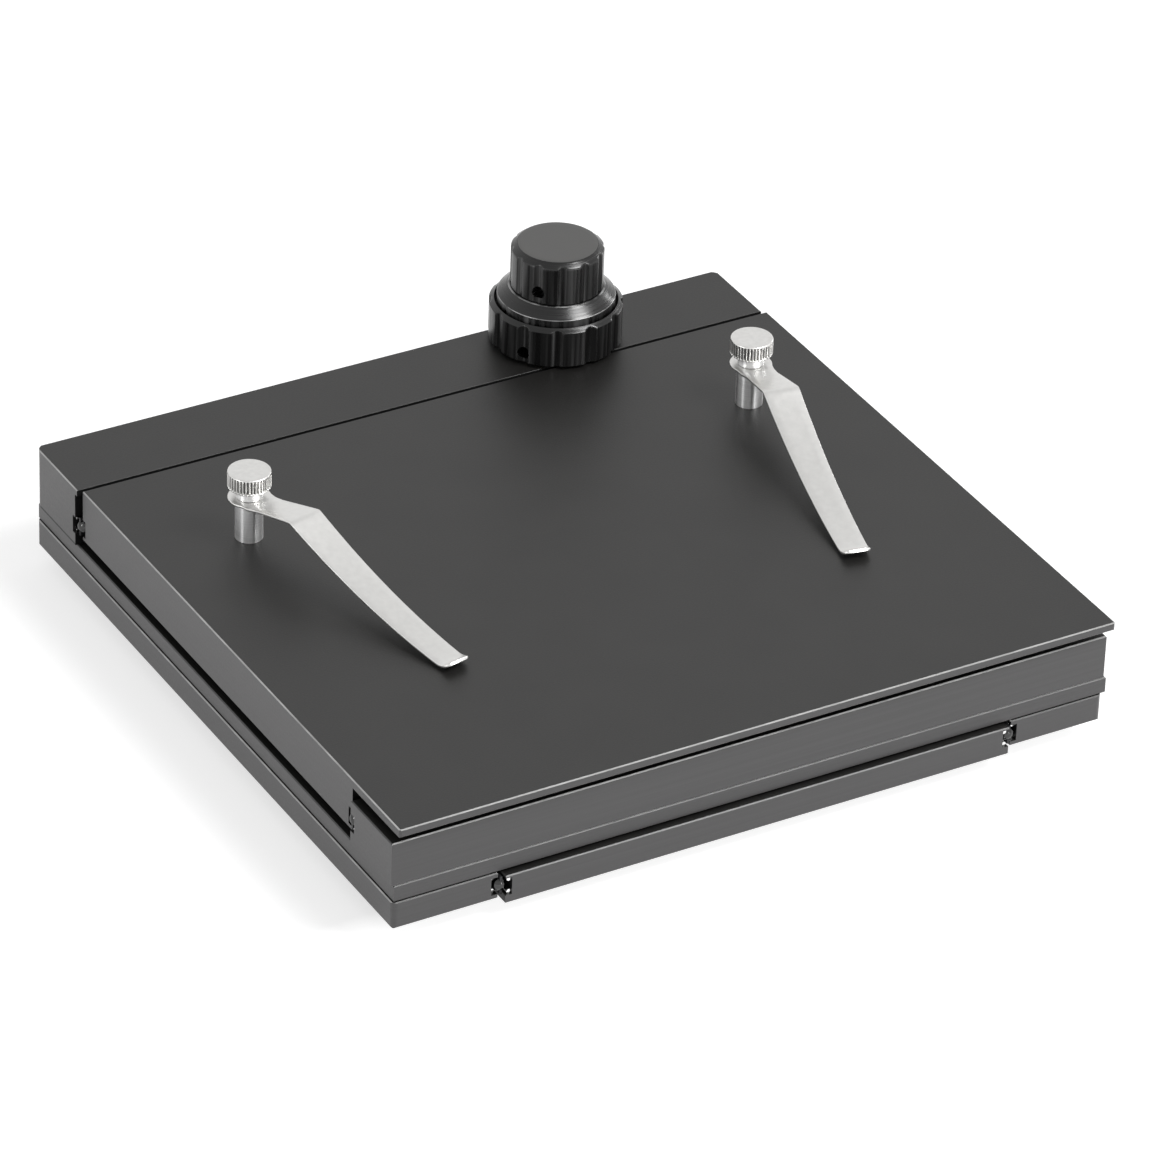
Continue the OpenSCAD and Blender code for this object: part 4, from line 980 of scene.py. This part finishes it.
class STAGE_OT_spring_leaves(bpy.types.Operator):
    """Makes the bent spring leaves of the clips"""

    bl_idname = "stage.spring_leaves"
    bl_label = "Spring leaves"

    def execute(self, context):
        sizes = context.scene.stage_clips
        t = sizes.thickness
        path = leaf_path(sizes)
        near, far = path[0, 0], path[-1, 0]
        squeeze = np.concatenate([
            near + (1 - np.cos(np.linspace(0.12, math.pi / 2, 14))) * sizes.root,
            np.linspace(4 * TOUCH, far - sizes.corner - TOUCH, 120),
            far - sizes.corner + sizes.corner * np.sin(np.linspace(0, math.pi / 2 - 0.12, 9)),
        ])
        z = np.interp(squeeze, path[:, 0], path[:, 1])
        tangent = np.stack([np.gradient(squeeze), np.gradient(z)], 1)
        tangent /= np.linalg.norm(tangent, axis=1)[:, None]
        up = np.stack([-tangent[:, 1], tangent[:, 0]], 1)
        middle, half = leaf_outline(squeeze, sizes, far)
        e = 0.14 * MM
        rows = np.array([
            (-1, e), (-1, t - e), (-1, t - 0.3 * e), (-1, t), (-0.5, t), (0, t), (0.5, t), (1, t),
            (1, t - 0.3 * e), (1, t - e), (1, e), (1, 0), (0.5, 0), (0, 0), (-0.5, 0), (-1, 0),
        ])
        pull = np.array([0, 0, 0.3, 1, 0, 0, 0, 1, 0.3, 0, 0, 1, 0, 0, 0, 1]) * e
        u = middle[:, None] + rows[None, :, 0] * (half[:, None] - pull[None, :])
        lift = rows[None, :, 1]
        v = squeeze[:, None] + up[:, 0:1] * lift
        h = z[:, None] + up[:, 1:2] * lift
        rings = np.stack([u, -v, h], 2)
        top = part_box("stage_slab")[1][2]
        below, above, hole = 9 * MM, 12 * MM, sizes.leaf_hole
        drill_side = np.array([(0, below), (hole, below), (hole, above), (0, above)])
        drill, drill_faces = turned(drill_side, np.linspace(0, 2 * math.pi, 48, endpoint=False), False)
        for side in SIDES:
            x, y = upright_axis(side + "_post")
            points, faces = carried(rings)
            a = getattr(sizes, side + "_turn")
            spin = np.array([[math.cos(a), -math.sin(a), 0], [math.sin(a), math.cos(a), 0], [0, 0, 1]])
            piece = put_piece(
                side + "_spring_leaf", points @ spin.T + [x, y, top], faces, side + "_clip",
                [side + "_leaf"], [finish("nickel_leaf")],
            )
            cut(piece, drill + [x, y, top], drill_faces)
            sharpen(piece, 50.0)
        return {"FINISHED"}


# CAD nodes, studio and panel


class STAGE_OT_machined_parts(bpy.types.Operator):
    """Gives the slabs, races, screws, shafts and gears their finishes"""

    bl_idname = "stage.machined_parts"
    bl_label = "Machined parts"

    def execute(self, context):
        for name, nodes in CAD_FINISHES.items():
            for node in nodes:
                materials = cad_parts[node].data.materials
                materials.clear()
                materials.append(finish(name))
        return {"FINISHED"}


def seen_directly(tree):
    """One for rays from the camera and for mirrored or refracted rays, zero for the others."""
    path = add(tree, "ShaderNodeLightPath").outputs
    straight = maths(tree, "MAXIMUM", path["Is Camera Ray"], path["Is Glossy Ray"])
    return maths(tree, "MAXIMUM", straight, path["Is Transmission Ray"])


# Directions of the camera's right, up and back, and the far end of its view
CAMERA_AXES = ((0.87083, -0.49067, 0.02999), (0.24135, 0.47989, 0.84348), (-0.42826, -0.72729, 0.53633))
CAMERA_END = 20.0

# Azimuth and height in degrees, distance, width and height, and the setting of the power
LAMPS = {
    "key": (-50.0, 55.0, 1.3, (0.5, 0.5), "key"),
    "front strip": (-71.0, 10.0, 1.2, (0.07, 0.5), "strip"),
    "right strip": (16.0, 10.0, 1.2, (0.07, 0.5), "strip"),
    "fill": (-176.0, 20.0, 1.2, (0.25, 0.5), "fill"),
}

# Heights of a direction between which the surroundings turn from white to the ceiling's grey
CEILING_FROM, CEILING_TO = 0.6, 0.95

# Places along y between which the floor's glow changes from the painted light in front to the even glow, and
# half the floor's width
GLOW_FROM, GLOW_TO = -48 * MM, -40 * MM
FLOOR_HALF = 6.0


def make_camera(scene, sizes):
    """The camera that the photograph was taken with, solved from the slab's edges."""
    camera = bpy.data.cameras.new("camera")
    camera.lens = sizes.lens
    camera.clip_end = CAMERA_END
    eye = bpy.data.objects.new("camera", camera)
    scene.collection.objects.link(eye)
    turn = Matrix(CAMERA_AXES).transposed().to_4x4()
    eye.matrix_world = Matrix.Translation(Vector(sizes.camera_place)) @ turn
    scene.camera = eye


def make_world(scene, sizes):
    """Even light on the object, and white surroundings in the picture and in mirrored rays."""
    world = bpy.data.worlds.new("studio")
    scene.world = world
    world.use_nodes = True
    tree = world.node_tree
    tree.nodes.clear()
    even = add(tree, "ShaderNodeBackground", in_Color=(1.0, 1.0, 1.0, 1.0), in_Strength=sizes.ambient)
    seen = add(tree, "ShaderNodeBackground")
    height = split(tree, add(tree, "ShaderNodeTexCoord").outputs["Generated"])[2]
    low = spread(tree, height, 1.0, 0.0, CEILING_FROM, CEILING_TO)
    tree.links.new(tint(tree, low, (1.0, 1.0, 1.0), sizes.ceiling, 1.0), seen.inputs["Color"])
    mix = add(tree, "ShaderNodeMixShader")
    out = add(tree, "ShaderNodeOutputWorld")
    tree.links.new(seen_directly(tree), mix.inputs[0])
    tree.links.new(even.outputs[0], mix.inputs[1])
    tree.links.new(seen.outputs[0], mix.inputs[2])
    tree.links.new(mix.outputs[0], out.inputs["Surface"])


def area_lamp(name, azimuth, height, distance, size, watts):
    """An upright rectangular lamp that looks at the object from an azimuth and a height in degrees."""
    a, h = math.radians(azimuth), math.radians(height)
    place = Vector((math.cos(a) * math.cos(h), math.sin(a) * math.cos(h), math.sin(h))) * distance
    data = bpy.data.lights.new(name, "AREA")
    data.shape = "RECTANGLE"
    data.size, data.size_y = size
    data.energy = watts
    lamp = bpy.data.objects.new(name, data)
    bpy.context.scene.collection.objects.link(lamp)
    lamp.location = place
    lamp.rotation_euler = (-place).to_track_quat("-Z", "Y").to_euler()


def make_floor(scene, sizes):
    """A dull floor at the object's lowest point, with a white glow that only seen and mirrored rays meet,
    made stronger in front as painted light over the shadow under the object's front.
    """
    floor_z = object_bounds()[0][2]
    corners = [(-1, -1), (1, -1), (1, 1), (-1, 1)]
    mesh = bpy.data.meshes.new("floor")
    mesh.from_pydata([(FLOOR_HALF * x, FLOOR_HALF * y, floor_z) for x, y in corners], [], [(0, 1, 2, 3)])
    floor = bpy.data.objects.new("floor", mesh)
    scene.collection.objects.link(floor)
    material, tree, shader = new_material("floor")
    shader.inputs["Base Color"].default_value = (*sizes.floor, 1.0)
    shader.inputs["Roughness"].default_value = 1.0
    shader.inputs["Specular IOR Level"].default_value = 0.0
    shader.inputs["Emission Color"].default_value = (1.0, 1.0, 1.0, 1.0)
    place = split(tree, add(tree, "ShaderNodeTexCoord").outputs["Object"])[1]
    # The even glow, with painted light added in front.
    white_and_painted_light = spread(tree, place, sizes.front_painted_light, sizes.floor_glow, GLOW_FROM, GLOW_TO)
    shown = maths(tree, "MULTIPLY", seen_directly(tree), white_and_painted_light)
    tree.links.new(shown, shader.inputs["Emission Strength"])
    mesh.materials.append(material)
    floor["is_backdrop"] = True


class STAGE_OT_studio(bpy.types.Operator):
    """Makes the floor, the lamps, the white surroundings and the camera"""

    bl_idname = "stage.studio"
    bl_label = "Studio"

    def execute(self, context):
        scene = context.scene
        sizes = scene.stage_studio
        make_camera(scene, sizes)
        make_world(scene, sizes)
        for name, (azimuth, height, distance, size, key) in LAMPS.items():
            area_lamp(name, azimuth, height, distance, size, getattr(sizes, key))
        make_floor(scene, sizes)
        scene.view_settings.view_transform = "Standard"
        return {"FINISHED"}


class STAGE_PT_panel(bpy.types.Panel):
    """Lists the stage's operators and settings in the sidebar"""

    bl_idname = "STAGE_PT_panel"
    bl_label = "Mechanical stage"
    bl_space_type = "VIEW_3D"
    bl_region_type = "UI"
    bl_category = "Mechanical stage"

    def draw(self, context):
        layout = self.layout
        for operator in OPERATORS:
            layout.operator(operator.bl_idname)
        for name, group in SETTINGS.items():
            box = layout.box()
            box.label(text=group.__doc__.rstrip("."))
            settings = getattr(context.scene, name)
            for key in group.__annotations__:
                box.prop(settings, key)


OPERATORS = (
    STAGE_OT_machined_parts,
    STAGE_OT_lower_knob,
    STAGE_OT_knob_skirt,
    STAGE_OT_upper_knob,
    STAGE_OT_posts,
    STAGE_OT_spring_leaves,
    STAGE_OT_thumb_screws,
    STAGE_OT_studio,
)


def register():
    """Registers the settings, the operators and the panel."""
    for name, group in SETTINGS.items():
        bpy.utils.register_class(group)
        setattr(bpy.types.Scene, name, PointerProperty(type=group))
    for item in OPERATORS + (STAGE_PT_panel,):
        bpy.utils.register_class(item)


def unregister():
    """Removes what register added."""
    for item in reversed(OPERATORS + (STAGE_PT_panel,)):
        bpy.utils.unregister_class(item)
    for name, group in SETTINGS.items():
        delattr(bpy.types.Scene, name)
        bpy.utils.unregister_class(group)


def main():
    """Registers the add-on and runs its operators in order."""
    register()
    for operator in OPERATORS:
        area, name = operator.bl_idname.split(".")
        getattr(getattr(bpy.ops, area), name)()


if __name__ == "__main__":
    main()
